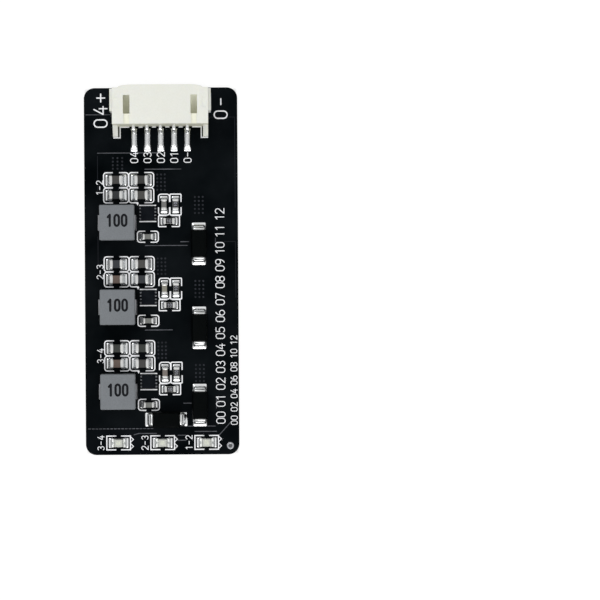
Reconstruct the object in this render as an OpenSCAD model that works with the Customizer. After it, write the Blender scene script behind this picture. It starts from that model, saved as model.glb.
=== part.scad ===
// Battery balancing board: a four-cell active balancer on one rigid circuit board.
// Frame: X across the board, Y along it towards the header, Z up.
// Origin: centre of the board's underside. All sizes are in millimetres.

/* [Board] */
// Width of the board
board_w = 23; // [22:0.5:30]
// Length of the board
board_l = 55; // [55:0.5:70]
// Thickness of the laminate
board_t = 1; // [0.8:0.1:2]
// Radius of the board's corners
corner_r = 1.6; // [0.5:0.1:3]
// Radius of the plated test hole
test_hole_r = 0.3; // [0.2:0.05:0.5]
// Test hole's centre, in from the right edge
test_hole_side = 1.35; // [1.2:0.05:2]
// Test hole's centre, in from the rear edge
test_hole_rear = 1.3; // [1.2:0.05:2]

/* [Copper and ink] */
// Thickness of the tinned copper pads
pad_t = 0.05; // [0.03:0.01:0.1]
// Thickness of the white legend ink
ink_t = 0.03; // [0.02:0.01:0.05]
// Width of a legend line
ink_line = 0.17; // [0.12:0.01:0.25]
// Clear gap between a pad and the legend line round it
ink_gap = 0.18; // [0.12:0.01:0.25]
// Step from one outline's line to its neighbour's
ink_step = 0.08; // [0:0.01:0.15]
// Width of the test hole's ring
ring_w = 0.24; // [0.2:0.02:0.3]
// Thickness of the plating inside the test hole
sleeve_t = 0.04; // [0.03:0.01:0.08]

/* [Layout] */
// Room between the header's pads and the first channel
header_room = 3.095; // [0.3:0.005:6]
// Room between two channels
channel_room = 1.97; // [0.3:0.01:4]
// Room between the last channel and the diode behind it
diode_room = 0.25; // [0.1:0.01:1]
// Room between that diode and the lamps
lamp_room = 1.34; // [0.3:0.01:3]
// Left edge of the board to the outline round the capacitors
capacitor_margin = 2.9; // [2.5:0.1:4]
// Left edge of the board to the inductor's terminal
inductor_margin = 2.05; // [1.5:0.05:3]
// Capacitor outline to the inductor below it
inductor_gap = 0.32; // [0.2:0.01:0.6]
// Inductor terminal to the chip's pads
chip_gap = 0.4; // [0.2:0.05:0.6]
// Chip's pads to the outline of the small parts beside it
column_gap = 0.35; // [0.25:0.05:0.6]
// Small parts' outline to the diode beside them
diode_gap = 1.35; // [0.8:0.05:2]
// Rear edge of the board to the row of lamps
lamp_rear = 1.8; // [1.5:0.1:2]
// Side edge of the board to the middle of the lamp nearest to it
lamp_margin = 4.9; // [4:0.1:6]

/* [Header] */
// Distance between the header's contacts
header_pitch = 2; // [1.8:0.1:2.2]
// Outer contact's centre to the housing's side
header_side = 3.1; // [3:0.05:3.5]
// Depth of the housing, front to back
header_d = 5.8; // [5.5:0.1:6.5]
// Height of the housing above the board
header_h = 5.5; // [5:0.1:6]
// Thickness of the housing's top and bottom walls
header_wall = 0.5; // [0.4:0.05:0.7]
// Thickness of the wall that holds the contacts
header_back_wall = 0.9; // [0.7:0.05:1.2]
// Outer contact's centre to the socket's side wall
socket_side = 1.95; // [1.7:0.05:2.1]
// Thickness of the ear on each side, which holds a solder tab
ear_t = 0.4; // [0.3:0.05:0.5]
// Length of an ear
ear_l = 3.3; // [2.8:0.05:3.4]
// Height of an ear
ear_h = 4.4; // [3.2:0.1:5.2]
// Ear's front, back from the housing's front
ear_setback = 0.5; // [0.45:0.05:0.8]
// Width of the rounded shoulder at each front corner
shoulder_w = 2.2; // [1:0.1:2.6]
// Width of the flat beside that shoulder
shoulder_flat = 0.8; // [0.2:0.1:1]
// Depth of that shoulder
shoulder_d = 0.42; // [0.2:0.02:0.45]
// Width of the windows in the top wall
window_w = 0.97; // [0.8:0.01:1.1]
// Length of those windows
window_l = 2.75; // [2:0.05:3]
// Front of the housing to a window
window_setback = 1.55; // [1.3:0.05:1.8]
// Width of the groove behind a window
groove_w = 0.8; // [0.6:0.05:0.9]
// Depth of that groove
groove_d = 0.2; // [0.1:0.05:0.3]
// Length of the two legs behind the housing
leg_l = 1.6; // [1.2:0.1:2]
// Width of a leg
leg_w = 0.75; // [0.6:0.05:1]
// Height of a leg where it leaves the housing
leg_h = 3; // [2.5:0.1:3.5]
// Height of a leg at its end
leg_end_h = 1.5; // [1:0.1:2.4]
// Width of a contact
contact_w = 0.5; // [0.4:0.05:0.6]
// Thickness of a contact
contact_t = 0.4; // [0.3:0.05:0.5]
// Back of the housing to the contacts' downward run
contact_out = 0.8; // [0.7:0.05:1]
// Length of a contact's foot on its pad
foot_l = 1.9; // [1.5:0.1:2.1]
// Front of the housing to the contacts' tips
contact_recess = 1.3; // [1:0.1:2]
// Contact's pad beyond its foot
contact_toe = 0.8; // [0.5:0.05:1]
// Width of a contact's pad
contact_pad_w = 1.04; // [1:0.02:1.2]
// Thickness of the solder tabs
tab_t = 0.25; // [0.2:0.05:0.3]
// Length of a solder tab, shorter than its ear
tab_l = 2.6; // [2:0.1:2.7]
// Height of a solder tab
tab_h = 2.7; // [2.2:0.1:3]
// Solder tab's plate, in from the housing's side
tab_inset = 0.1; // [0.05:0.05:0.2]

/* [Inductor] */
// Length of the core, terminal side to terminal side
inductor_l = 5.2; // [5:0.05:5.7]
// Width of the core
inductor_w = 5.25; // [5:0.05:5.6]
// Height of the core
inductor_h = 2.8; // [2.4:0.05:3.2]
// Thickness of the terminal strip
terminal_t = 0.28; // [0.15:0.01:0.3]
// Width of the terminal strip
terminal_w = 2.3; // [2:0.1:3]
// Length of the terminal's foot under the core
terminal_foot = 1.3; // [1:0.05:1.8]
// Height at which the strip leaves the core
terminal_exit = 1.35; // [1:0.05:1.8]
// Radius of the core's upright corners
core_r = 0.2; // [0.15:0.05:0.8]
// Bevel round the core's top
core_bevel = 0.1; // [0.05:0.05:0.25]

/* [Bulk capacitors] */
// Length of a bulk capacitor
cap_l = 2; // [1.8:0.05:2.2]
// Width of a bulk capacitor
cap_w = 1.25; // [1.1:0.05:1.4]
// Height of a bulk capacitor
cap_h = 1.15; // [0.8:0.05:1.35]
// Length of its metal end
cap_band = 0.5; // [0.3:0.02:0.6]
// Pad beyond its end
cap_toe = 0.59; // [0.4:0.01:0.7]
// Pad beyond its side
cap_side = 0.22; // [0.1:0.02:0.3]

/* [Small chip parts] */
// Length of a small capacitor or resistor
small_l = 1.6; // [1.5:0.05:1.7]
// Width of a small capacitor or resistor
small_w = 0.82; // [0.7:0.02:0.95]
// Height of a small capacitor
small_cap_h = 0.8; // [0.6:0.05:0.95]
// Height of a resistor
resistor_h = 0.5; // [0.4:0.05:0.6]
// Length of its metal end
small_band = 0.32; // [0.25:0.01:0.4]
// Pad beyond its end
small_toe = 0.5; // [0.4:0.02:0.6]
// Pad beyond its side
small_side = 0.15; // [0.1:0.01:0.2]

/* [Balancer chip] */
// Side of the square package
chip_side = 2; // [1.8:0.05:2.2]
// Height of the package
chip_h = 0.75; // [0.6:0.05:0.9]
// Distance between its lands
land_pitch = 0.5; // [0.4:0.02:0.5]
// Width of a land
land_w = 0.25; // [0.2:0.01:0.28]
// Length of a land
land_l = 0.35; // [0.25:0.01:0.4]
// Pad beyond the package's side
chip_toe = 0.27; // [0.15:0.01:0.35]

/* [Diodes] */
// Length of the moulded body
diode_l = 4.2; // [3.9:0.05:4.5]
// Width of the moulded body
diode_w = 2.4; // [2.2:0.05:2.7]
// Height of the moulded body
diode_h = 1.9; // [1.6:0.05:2.2]
// How far the body's sides lean in
diode_draft = 0.26; // [0.1:0.02:0.35]
// Width of the bent leads
diode_lead_w = 1.5; // [1.2:0.05:1.8]
// Thickness of the bent leads
diode_lead_t = 0.2; // [0.15:0.01:0.25]
// How far each lead stands out past the body
diode_lead_out = 0.38; // [0.3:0.02:0.5]
// Pad beyond the lead
diode_toe = 0.7; // [0.5:0.05:0.9]
// Width of a diode's pad
diode_pad_w = 2.06; // [1.8:0.02:2.2]

/* [Lamps] */
// Length of a lamp
lamp_l = 2; // [1.8:0.05:2.2]
// Width of a lamp
lamp_w = 1.25; // [1.1:0.05:1.4]
// Thickness of the lamp's base
lamp_base_h = 0.4; // [0.3:0.05:0.6]
// Height of the clear lens on it
lamp_lens_h = 0.45; // [0.3:0.05:0.6]
// Length of the lamp's metal end
lamp_band = 0.27; // [0.25:0.02:0.45]
// Pad beyond the lamp's end
lamp_toe = 0.5; // [0.35:0.05:0.6]
// Pad beyond the lamp's side
lamp_side = 0.14; // [0.08:0.02:0.2]

/* [Hidden] */
$fn = 48;
channels = 3;
contacts = 5;
tag = ["a", "b", "c", "d"];

// Heights: the pads lie on the laminate and every part is soldered on top of its pads
pad_top = board_t + pad_t;
front_y = board_l / 2;
rear_y = -board_l / 2;
left_x = -board_w / 2;
right_x = board_w / 2;

// A legend line's middle stands this far out from the pads it surrounds
ink_out = ink_gap + ink_line / 2;
cap_frame = [cap_l + 2 * (cap_toe + ink_out), cap_w + 2 * (cap_side + ink_out)];
cap_step = cap_frame + [ink_step, ink_step];
small_frame = [small_l + 2 * (small_toe + ink_out), small_w + 2 * (small_side + ink_out)];
small_step = small_frame + [ink_step, ink_step];
lamp_frame = [lamp_l + 2 * (lamp_toe + ink_out), lamp_w + 2 * (lamp_side + ink_out)];

// Places along the board: the rooms share what the parts leave free of its length
chip_line = chip_side / 2 + 0.21;
bypass_gap = 1.45;
header_zone = header_d + contact_out + contact_t / 2 + foot_l + contact_toe;
channel_l = cap_step.y + cap_frame.y + ink_line + inductor_gap
    + max(inductor_w, 2 * chip_line + bypass_gap + small_frame.y + ink_line / 2);
lamp_zone = lamp_rear + (lamp_frame.y + ink_line) / 2;
free_l = board_l - header_zone - channels * channel_l - diode_pad_w - lamp_zone;
room_share = free_l / (header_room + (channels - 1) * channel_room + diode_room + lamp_room);
channel_pitch = channel_l + channel_room * room_share;
first_row = header_zone + header_room * room_share + (cap_frame.y + ink_line) / 2;
function row_y(i) = front_y - first_row - i * channel_pitch;
function low_row_y(i) = row_y(i) - cap_step.y;
function under_caps(i) = low_row_y(i) - cap_frame.y / 2 - ink_line / 2;
function inductor_y(i) = under_caps(i) - inductor_gap - inductor_w / 2;
function chip_y(i) = under_caps(i) - inductor_gap - chip_line;
column_rise = 0.15;
function column_y(i) = low_row_y(i) + column_rise - small_frame.x / 2;
function set_resistor_y(i) = column_y(i) - (small_step.x + small_step.y) / 2;
function bypass_y(i) = chip_y(i) - chip_line - bypass_gap - small_frame.y / 2;
lamp_y = rear_y + lamp_rear;

// Places across the board
cap_x = [for (k = [0, 1]) left_x + capacitor_margin + cap_frame.x / 2 + k * cap_step.x];
inductor_x = left_x + inductor_margin + terminal_t + inductor_l / 2;
chip_reach = chip_side / 2 + chip_toe;
chip_x = inductor_x + inductor_l / 2 + terminal_t + chip_gap + chip_reach;
column_left = max(chip_x + chip_reach, cap_x[1] + cap_frame.x / 2) + column_gap;
column_x = [for (k = [0, 1]) column_left + small_frame.y / 2 + k * small_step.y];
set_resistor_x = column_left + small_frame.x / 2;
diode_x = column_left + max(2 * small_step.y, small_frame.x) + diode_gap + diode_w / 2;
lamp_x = [for (k = [-1, 0, 1]) k * (right_x - lamp_margin)];

// Diodes: the first two follow their channels, the other two sit above the lamps
diode_drop = 9.6;
diode_lamp_gap = 1.4;
diode_side_gap = 0.65;
diode_reach = diode_l / 2 + diode_lead_out + diode_toe;
function diode_at(i) =
    i < 2 ? [diode_x, row_y(i) - diode_drop]
    : i == 2 ? [diode_x, lamp_y + lamp_frame.y / 2 + diode_lamp_gap + diode_reach]
    : [diode_x - diode_w / 2 - diode_side_gap - diode_reach,
       bypass_y(2) - small_frame.y / 2 - ink_line / 2 - diode_room * room_share - diode_pad_w / 2];
function diode_turn(i) = i == 3 ? 0 : 90;

// Header
header_span = (contacts - 1) * header_pitch;
header_w = header_span + 2 * header_side;
socket_w = header_span + 2 * socket_side;
socket_h = header_h - 2 * header_wall;
header_back = front_y - header_d;
header_top = board_t + header_h;
contact_z = board_t + header_wall + socket_h / 2;
contact_bend = 0.35;
foot_end = header_back - contact_out - contact_t / 2 - foot_l;
function contact_x(i) = (i - (contacts - 1) / 2) * header_pitch;
ear_y = front_y - ear_setback - ear_l / 2;
tab_bend = 0.25;
tab_x = header_w / 2 - tab_inset + tab_t / 2;
tab_reach = ear_t + tab_inset - tab_t / 2;
window_x = header_span / 2 + 0.98;

// ---------- shapes used by several parts ----------

// A rectangle with round corners, drawn about its centre
module round_rect(size, r) {
    square([size.x - 2 * r, size.y], center = true);
    square([size.x, size.y - 2 * r], center = true);
    for (sx = [-1, 1], sy = [-1, 1])
        translate([sx * (size.x / 2 - r), sy * (size.y / 2 - r)]) circle(r);
}

// A bar along X whose four long edges are chamfered, standing on z = 0
module chamfered_bar(l, w, h, c) {
    rotate([90, 0, 90]) translate([0, 0, -l / 2]) linear_extrude(l)
        polygon([[c - w / 2, 0], [w / 2 - c, 0], [w / 2, c], [w / 2, h - c],
                 [w / 2 - c, h], [c - w / 2, h], [-w / 2, h - c], [-w / 2, c]]);
}

// A flat outline of metal strip that runs along square-cornered points, with round bends
module bent_strip(path, thick, bend_r) {
    last = len(path) - 1;
    for (i = [0:last - 1]) {
        run = (path[i + 1] - path[i]) / norm(path[i + 1] - path[i]);
        from = path[i] + (i == 0 ? 0 : bend_r) * run;
        to = path[i + 1] - (i == last - 1 ? 0 : bend_r) * run;
        size = [abs((to - from).x), abs((to - from).y)];
        translate((from + to) / 2)
            square([max(size.x, thick), max(size.y, thick)], center = true);
    }
    for (i = [1:last - 1]) {
        back = (path[i - 1] - path[i]) / norm(path[i - 1] - path[i]);
        on = (path[i + 1] - path[i]) / norm(path[i + 1] - path[i]);
        reach = bend_r + thick;
        translate(path[i] + (back + on) * bend_r) intersection() {
            difference() {
                circle(bend_r + thick / 2);
                circle(bend_r - thick / 2);
            }
            translate(-(back + on) * reach / 2) square(reach, center = true);
        }
    }
}

// Puts a shape drawn in X and Z upright, width wide along Y
module upright(width) {
    rotate([90, 0, 0]) translate([0, 0, -width / 2]) linear_extrude(width) children();
}

// Two copies of something at +X, the second turned to face -X
module both_ends() {
    children();
    rotate([0, 0, 180]) children();
}

// A pair of pads for a part that is soldered at both ends
module pad_pair(l, band, toe, width) {
    pad_l = band + toe;
    both_ends() translate([l / 2 + toe - pad_l / 2, 0, board_t + pad_t / 2])
        cube([pad_l, width, pad_t], center = true);
}

// A broken outline round a part, open at the middle of its long sides
module ink_frame(frame, r) {
    opening = 0.25 * frame.x;
    difference() {
        round_rect([frame.x + ink_line, frame.y + ink_line], r + ink_line / 2);
        round_rect([frame.x - ink_line, frame.y - ink_line], max(r - ink_line / 2, 0.05));
        square([opening, frame.y + 2 * ink_line], center = true);
    }
}

// Solder that climbs a metal end: steep at the part and thin at the pad's edge
module solder_wedge(reach, rise, width) {
    steps = 5;
    points = [for (i = [0:steps]) [reach * i / steps, rise * pow(1 - i / steps, 2)]];
    upright(width) polygon(concat([[0, 0]], points));
}

// ---------- the board and what is printed on it ----------

module circuit_board() {
    color([0.03, 0.035, 0.04]) difference() {
        linear_extrude(board_t) round_rect([board_w, board_l], corner_r);
        translate([right_x - test_hole_side, rear_y + test_hole_rear, -1])
            cylinder(r = test_hole_r, h = board_t + 2);
    }
}

// Plated sleeve of the test hole with its ring on the top face
module test_hole_sleeve() {
    translate([right_x - test_hole_side, rear_y + test_hole_rear, 0]) difference() {
        union() {
            cylinder(r = test_hole_r, h = pad_top);
            translate([0, 0, board_t]) cylinder(r = test_hole_r + ring_w, h = pad_t);
        }
        translate([0, 0, -1]) cylinder(r = test_hole_r - sleeve_t, h = board_t + 2);
    }
}

chip_pad_l = land_l + chip_toe;
module chip_pads() {
    both_ends() for (k = [-1.5:1.5])
        translate([chip_reach - chip_pad_l / 2, k * land_pitch, board_t + pad_t / 2])
            cube([chip_pad_l, land_w, pad_t], center = true);
    translate([0, 0, board_t + pad_t / 2]) cube([thermal_pad.x, thermal_pad.y, pad_t], center = true);
}
thermal_pad = [chip_side - 2 * land_l - 0.4, chip_side - 0.4];

module header_pads() {
    tab_pad = [tab_reach + tab_t / 2 + 0.3, tab_l + 0.4];
    pad_l = header_back - 0.25 - (foot_end - contact_toe);
    for (i = [0:contacts - 1])
        translate([contact_x(i), foot_end - contact_toe + pad_l / 2, board_t + pad_t / 2])
            cube([contact_pad_w, pad_l, pad_t], center = true);
    both_sides() translate([header_w / 2 + ear_t + 0.05 - tab_pad.x / 2, ear_y, board_t + pad_t / 2])
        cube([tab_pad.x, tab_pad.y, pad_t], center = true);
}

// Two copies of something on the right half, the second mirrored to the left
module both_sides() {
    children();
    mirror([1, 0, 0]) children();
}

module copper_pads() {
    color([0.82, 0.83, 0.84]) {
        header_pads();
        test_hole_sleeve();
        for (i = [0:channels - 1]) {
            for (x = cap_x, y = [row_y(i), low_row_y(i)])
                translate([x, y, 0]) pad_pair(cap_l, cap_band, cap_toe, cap_w + 2 * cap_side);
            for (x = column_x) translate([x, column_y(i), 0]) rotate([0, 0, 90]) small_pads();
            translate([set_resistor_x, set_resistor_y(i), 0]) small_pads();
            translate([chip_x, bypass_y(i), 0]) small_pads();
            translate([chip_x, chip_y(i), 0]) chip_pads();
            translate([inductor_x, inductor_y(i), 0])
                pad_pair(inductor_l + 2 * terminal_t, terminal_foot, 0, terminal_w);
            translate([lamp_x[i], lamp_y, 0]) pad_pair(lamp_l, lamp_band, lamp_toe, lamp_w + 2 * lamp_side);
        }
        for (i = [0:channels]) translate(diode_at(i)) rotate([0, 0, diode_turn(i)])
            pad_pair(diode_l + 2 * diode_lead_out, diode_foot, diode_toe, diode_pad_w);
    }
}
module small_pads() pad_pair(small_l, small_band, small_toe, small_w + 2 * small_side);

round_frame_r = 0.4;
square_frame_r = 0.12;

// Lamp outline: a plain bracket with two arrowheads at the cathode end
module lamp_ink() {
    tip = 0.54;
    half = lamp_frame.y / 2;
    opening = 0.2 * lamp_frame.x;
    difference() {
        square([lamp_frame.x + ink_line, lamp_frame.y + ink_line], center = true);
        square([lamp_frame.x - ink_line, lamp_frame.y - ink_line], center = true);
        square([opening, lamp_frame.y + 2 * ink_line], center = true);
    }
    for (k = [0, 1]) translate([lamp_frame.x / 2, (k - 0.5) * half, 0]) difference() {
        polygon([[0, -half / 2], [tip, 0], [0, half / 2]]);
        translate([-ink_line, 0]) polygon([[0, -half / 2], [tip, 0], [0, half / 2]]);
    }
}

// Line along the back of the header, stepping round its legs and open at the contact pads
module header_ink() {
    leg_x = header_w / 2 - leg_w - ink_out;
    leg_end = header_back - leg_l - ink_line;
    both_sides() {
        translate([leg_x - ink_line / 2, leg_end]) square([ink_line, header_back - leg_end]);
        translate([leg_x - ink_line / 2, leg_end]) square([leg_w + ink_out + ink_line / 2, ink_line]);
    }
    difference() {
        translate([-leg_x, header_back - ink_line]) square([2 * leg_x, ink_line]);
        for (i = [0:contacts - 1]) translate([contact_x(i), header_back])
            square([contact_pad_w + 2 * ink_gap, 4 * ink_line], center = true);
    }
}

module channel_ink(i) {
    for (x = cap_x, y = [row_y(i), low_row_y(i)])
        translate([x, y]) ink_frame(cap_frame, round_frame_r);
    translate([column_x[0], column_y(i)]) rotate(90) ink_frame(small_frame, round_frame_r);
    translate([column_x[1], column_y(i)]) rotate(90) ink_frame(small_frame, square_frame_r);
    translate([set_resistor_x, set_resistor_y(i)]) ink_frame(small_frame, square_frame_r);
    translate([chip_x, bypass_y(i)]) ink_frame(small_frame, round_frame_r);
    for (s = [-1, 1]) translate([chip_x, chip_y(i) + s * chip_line])
        square([2 * chip_reach, ink_line], center = true);
    // the mark at the chip's first land
    translate([chip_x - chip_reach - 0.25, chip_y(i) + chip_line])
        polygon([[-0.2, 0.36], [0.2, 0.36], [0, -0.04]]);
    translate([lamp_x[i], lamp_y]) lamp_ink();
}

module silkscreen() {
    color([0.93, 0.93, 0.95]) translate([0, 0, board_t]) linear_extrude(ink_t) {
        header_ink();
        for (i = [0:channels - 1]) channel_ink(i);
    }
}

// ---------- the header ----------

module header_housing() {
    color([0.9, 0.9, 0.86]) difference() {
        union() {
            translate([0, 0, board_t]) linear_extrude(header_h) housing_outline();
            both_sides() {
                header_leg();
                translate([header_w / 2 - 0.1, ear_y - ear_l / 2, board_t]) cube([ear_t + 0.1, ear_l, ear_h]);
            }
        }
        // the socket that takes the plug
        translate([-socket_w / 2, header_back + header_back_wall, board_t + header_wall])
            cube([socket_w, header_d, socket_h]);
        both_sides() {
            top_window();
            ear_recess();
            tab();
            // room under the ear for the tab's foot and its pad
            translate([tab_x - tab_t / 2 - 0.3, ear_y - tab_l / 2 - 0.25, board_t - 1])
                cube([ear_t + 2, tab_l + 0.5, 1 + pad_t + tab_t]);
        }
        for (i = [0:contacts - 1]) contact(i);
        // relief under the back wall, clear of the contacts' pads
        translate([0, header_back, board_t]) cube([header_span + 2, 1, 0.2], center = true);
    }
}

// The housing from above: a rectangle whose front falls away to a flat at each corner
module housing_outline() {
    steps = 10;
    half = header_w / 2;
    right = [for (k = [0:steps]) let (a = 90 * k / steps)
        [half - shoulder_flat - shoulder_w * (1 - cos(a)), front_y - shoulder_d * (1 - sin(a))]];
    left = [for (k = [steps:-1:0]) [-right[k].x, right[k].y]];
    flat_y = front_y - shoulder_d;
    polygon(concat([[half, header_back], [half, flat_y]], right, left, [[-half, flat_y], [-half, header_back]]));
}

module header_leg() {
    root = 0.5;
    translate([header_w / 2 - leg_w, 0, board_t]) rotate([90, 0, 90]) linear_extrude(leg_w)
        polygon([[header_back + root, 0], [header_back + root, leg_h], [header_back, leg_h],
                 [header_back - leg_l, leg_end_h], [header_back - leg_l, 0]]);
}

// Window over the plug's rib, with a shallow groove that runs on to the back
module top_window() {
    translate([window_x - window_w / 2, front_y - window_setback - window_l, header_top - header_wall - 1])
        cube([window_w, window_l, header_wall + 2]);
    translate([window_x - groove_w / 2, header_back - 1, header_top - groove_d])
        cube([groove_w, header_d - window_setback - window_l / 2 + 1, 1]);
}

// Shallow recess in the top above each ear
module ear_recess() {
    size = [0.9, 1.4, 0.1];
    translate([header_w / 2 - size.x, ear_y - size.y / 2 - 0.5, header_top - size.z])
        cube([size.x - 0.15, size.y, 1]);
}

// A bent tab: its plate stands in the ear, and its foot turns outward beneath it
module tab() {
    translate([tab_x, ear_y, pad_top + tab_t / 2]) upright(tab_l)
        bent_strip([[0, tab_h], [0, 0], [tab_reach, 0]], tab_t, tab_bend);
}

module header_tabs() {
    color([0.85, 0.86, 0.87]) both_sides() tab();
}

// One contact: a square post in the socket, then down and out to a foot on its pad
module contact(i) {
    tip = front_y - contact_recess;
    taper = 0.4;
    rest_z = pad_top + contact_t / 2;
    down_y = header_back - contact_out;
    half = contact_t / 2;
    translate([contact_x(i), 0, 0]) rotate([0, 0, 90]) upright(contact_w) {
        bent_strip([[tip - taper, contact_z], [down_y, contact_z], [down_y, rest_z], [foot_end, rest_z]],
                   contact_t, contact_bend);
        polygon([[tip - 2 * taper, contact_z - half], [tip - 2 * taper, contact_z + half],
                 [tip - taper, contact_z + half], [tip, contact_z + half / 2],
                 [tip, contact_z - half / 2], [tip - taper, contact_z - half]]);
    }
}

module header_contact(i) {
    color([0.86, 0.86, 0.84]) contact(i);
}

// ---------- the parts of one channel ----------

// Pressed powder core with its corners rounded and its top edge bevelled
module core_shape() {
    size = [inductor_l, inductor_w];
    lid = size - 2 * [core_bevel, core_bevel];
    translate([0, 0, pad_top + terminal_t]) hull() {
        linear_extrude(inductor_h - core_bevel) round_rect(size, core_r, $fn = 32);
        linear_extrude(inductor_h) round_rect(lid, core_r - core_bevel / 2, $fn = 32);
    }
}

module terminal_strips() {
    bend = 0.25;
    inner = inductor_l / 2 - 0.4;
    face = inductor_l / 2 + terminal_t / 2;
    both_ends() translate([0, 0, pad_top + terminal_t / 2]) upright(terminal_w)
        bent_strip([[inner, terminal_exit], [face, terminal_exit], [face, 0],
                    [inductor_l / 2 + terminal_t - terminal_foot, 0]], terminal_t, bend);
}

module inductor_core(i) {
    color([0.5, 0.52, 0.53]) translate([inductor_x, inductor_y(i), 0]) difference() {
        core_shape();
        terminal_strips();
    }
}

module inductor_terminals(i) {
    color([0.6, 0.6, 0.6]) translate([inductor_x, inductor_y(i), 0]) terminal_strips();
}

// Flat no-lead package, with four lands down each side and a thermal pad beneath
land_t = 0.2;
module lands() {
    translate([0, 0, pad_top]) {
        both_ends() for (k = [-1.5:1.5])
            translate([chip_side / 2 - land_l, k * land_pitch - land_w / 2, 0]) cube([land_l, land_w, land_t]);
        translate([-thermal_pad.x / 2, -thermal_pad.y / 2, 0]) cube([thermal_pad.x, thermal_pad.y, land_t]);
    }
}

module balancer_chip(i) {
    dot_r = 0.12;
    color([0.06, 0.065, 0.08]) translate([chip_x, chip_y(i), 0]) difference() {
        translate([-chip_side / 2, -chip_side / 2, pad_top]) cube([chip_side, chip_side, chip_h]);
        lands();
        translate([0.3 - chip_side / 2, chip_side / 2 - 0.3, pad_top + chip_h - 0.03])
            cylinder(r = dot_r, h = 1);
    }
}

module chip_lands() {
    color([0.75, 0.76, 0.77]) for (i = [0:channels - 1]) translate([chip_x, chip_y(i), 0]) lands();
}

// A ceramic block whose two ends are dipped in metal
plating = 0.03;
edge = 0.08;
module metal_ends(l, w, h, band) {
    difference() {
        both_ends() translate([(l - band) / 2, 0, 0]) chamfered_bar(band, w, h, edge);
        ceramic_block(l, w, h);
    }
}
module ceramic_block(l, w, h) {
    translate([0, 0, plating]) chamfered_bar(l - 2 * plating, w - 2 * plating, h - 2 * plating, edge);
}

module capacitor(l, w, h, band, tint) {
    translate([0, 0, pad_top]) {
        color(tint) ceramic_block(l, w, h);
        color([0.85, 0.85, 0.84]) metal_ends(l, w, h, band);
    }
}

// A thin ceramic plate with metal ends and a black glaze between them
module resistor() {
    glaze_t = 0.06;
    plate_h = resistor_h - glaze_t;
    inside = small_l - 2 * small_band;
    translate([0, 0, pad_top]) {
        color([0.92, 0.92, 0.9]) translate([0, 0, plating])
            chamfered_bar(inside, small_w - 2 * plating, plate_h - plating, plating);
        color([0.05, 0.05, 0.06]) translate([-inside / 2, -small_w / 2 + 2 * plating, plate_h])
            cube([inside, small_w - 4 * plating, glaze_t]);
        color([0.85, 0.85, 0.84]) both_ends()
            translate([(small_l - small_band) / 2, 0, 0]) chamfered_bar(small_band, small_w, resistor_h, plating);
    }
}

ceramic = [0.3, 0.28, 0.26];
module bulk_capacitor(i, k) {
    translate([cap_x[k % 2], k < 2 ? row_y(i) : low_row_y(i), 0])
        capacitor(cap_l, cap_w, cap_h, cap_band, ceramic);
}
module timing_capacitor(i) {
    translate([column_x[0], column_y(i), 0]) rotate([0, 0, 90])
        capacitor(small_l, small_w, small_cap_h, small_band, [0.5, 0.48, 0.42]);
}
module bypass_capacitor(i) {
    translate([chip_x, bypass_y(i), 0]) capacitor(small_l, small_w, small_cap_h, small_band, [0.52, 0.54, 0.5]);
}
module sense_resistor(i) {
    translate([column_x[1], column_y(i), 0]) rotate([0, 0, 90]) resistor();
}
module set_resistor(i) {
    translate([set_resistor_x, set_resistor_y(i), 0]) resistor();
}

// ---------- diodes ----------

diode_foot = 1.25;
diode_lift = 0.05;
diode_bend = 0.22;
diode_exit = diode_lift + diode_h * 0.5;
module lead_strips() {
    inner = diode_l / 2 - 0.35;
    face = diode_l / 2 + diode_lead_out - diode_lead_t / 2;
    both_ends() translate([0, 0, pad_top + diode_lead_t / 2]) upright(diode_lead_w)
        bent_strip([[inner, diode_exit], [face, diode_exit], [face, 0],
                    [diode_l / 2 + diode_lead_out - diode_foot, 0]], diode_lead_t, diode_bend);
}

// Moulded body that leans in above and below the line where its mould parts
module diode_body(i) {
    base_z = pad_top + diode_lead_t + diode_lift;
    part_z = pad_top + diode_lead_t / 2 + diode_exit;
    full = [diode_l, diode_w];
    small = full - 2 * [diode_draft, diode_draft];
    slim = 0.01;
    color([0.05, 0.05, 0.055]) translate(diode_at(i)) rotate([0, 0, diode_turn(i)]) difference() {
        hull() {
            translate([-small.x / 2, -small.y / 2, base_z]) cube([small.x, small.y, slim]);
            translate([-full.x / 2, -full.y / 2, part_z]) cube([full.x, full.y, slim]);
            translate([-small.x / 2, -small.y / 2, base_z + diode_h - slim]) cube([small.x, small.y, slim]);
        }
        lead_strips();
    }
}

module diode_leads(i) {
    color([0.8, 0.8, 0.8]) translate(diode_at(i)) rotate([0, 0, diode_turn(i)]) lead_strips();
}

// ---------- lamps ----------

lamp_notch_r = 0.22;
module lamp_end_notches() {
    both_ends() translate([lamp_l / 2, 0, -1]) cylinder(r = lamp_notch_r, h = lamp_base_h + 2);
}

module lamp_base(i) {
    translate([lamp_x[i], lamp_y, pad_top]) {
        color([0.92, 0.92, 0.88]) translate([lamp_band - lamp_l / 2, -lamp_w / 2, 0])
            cube([lamp_l - 2 * lamp_band, lamp_w, lamp_base_h]);
        color([0.9, 0.9, 0.88]) difference() {
            both_ends() translate([lamp_l / 2 - lamp_band, -lamp_w / 2, 0])
                cube([lamp_band, lamp_w, lamp_base_h]);
            lamp_end_notches();
        }
    }
}

module lamp_lens(i) {
    foot = lamp_l - 2 * lamp_band;
    top = foot - 0.25;
    color([0.85, 0.87, 0.72]) translate([lamp_x[i], lamp_y, pad_top + lamp_base_h]) upright(lamp_w)
        polygon([[-foot / 2, 0], [foot / 2, 0], [top / 2, lamp_lens_h], [-top / 2, lamp_lens_h]]);
}

// ---------- solder ----------

module joint_pair(l, toe, rise, width) {
    both_ends() translate([l / 2, 0, pad_top]) solder_wedge(0.75 * toe, rise, width);
}

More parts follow.
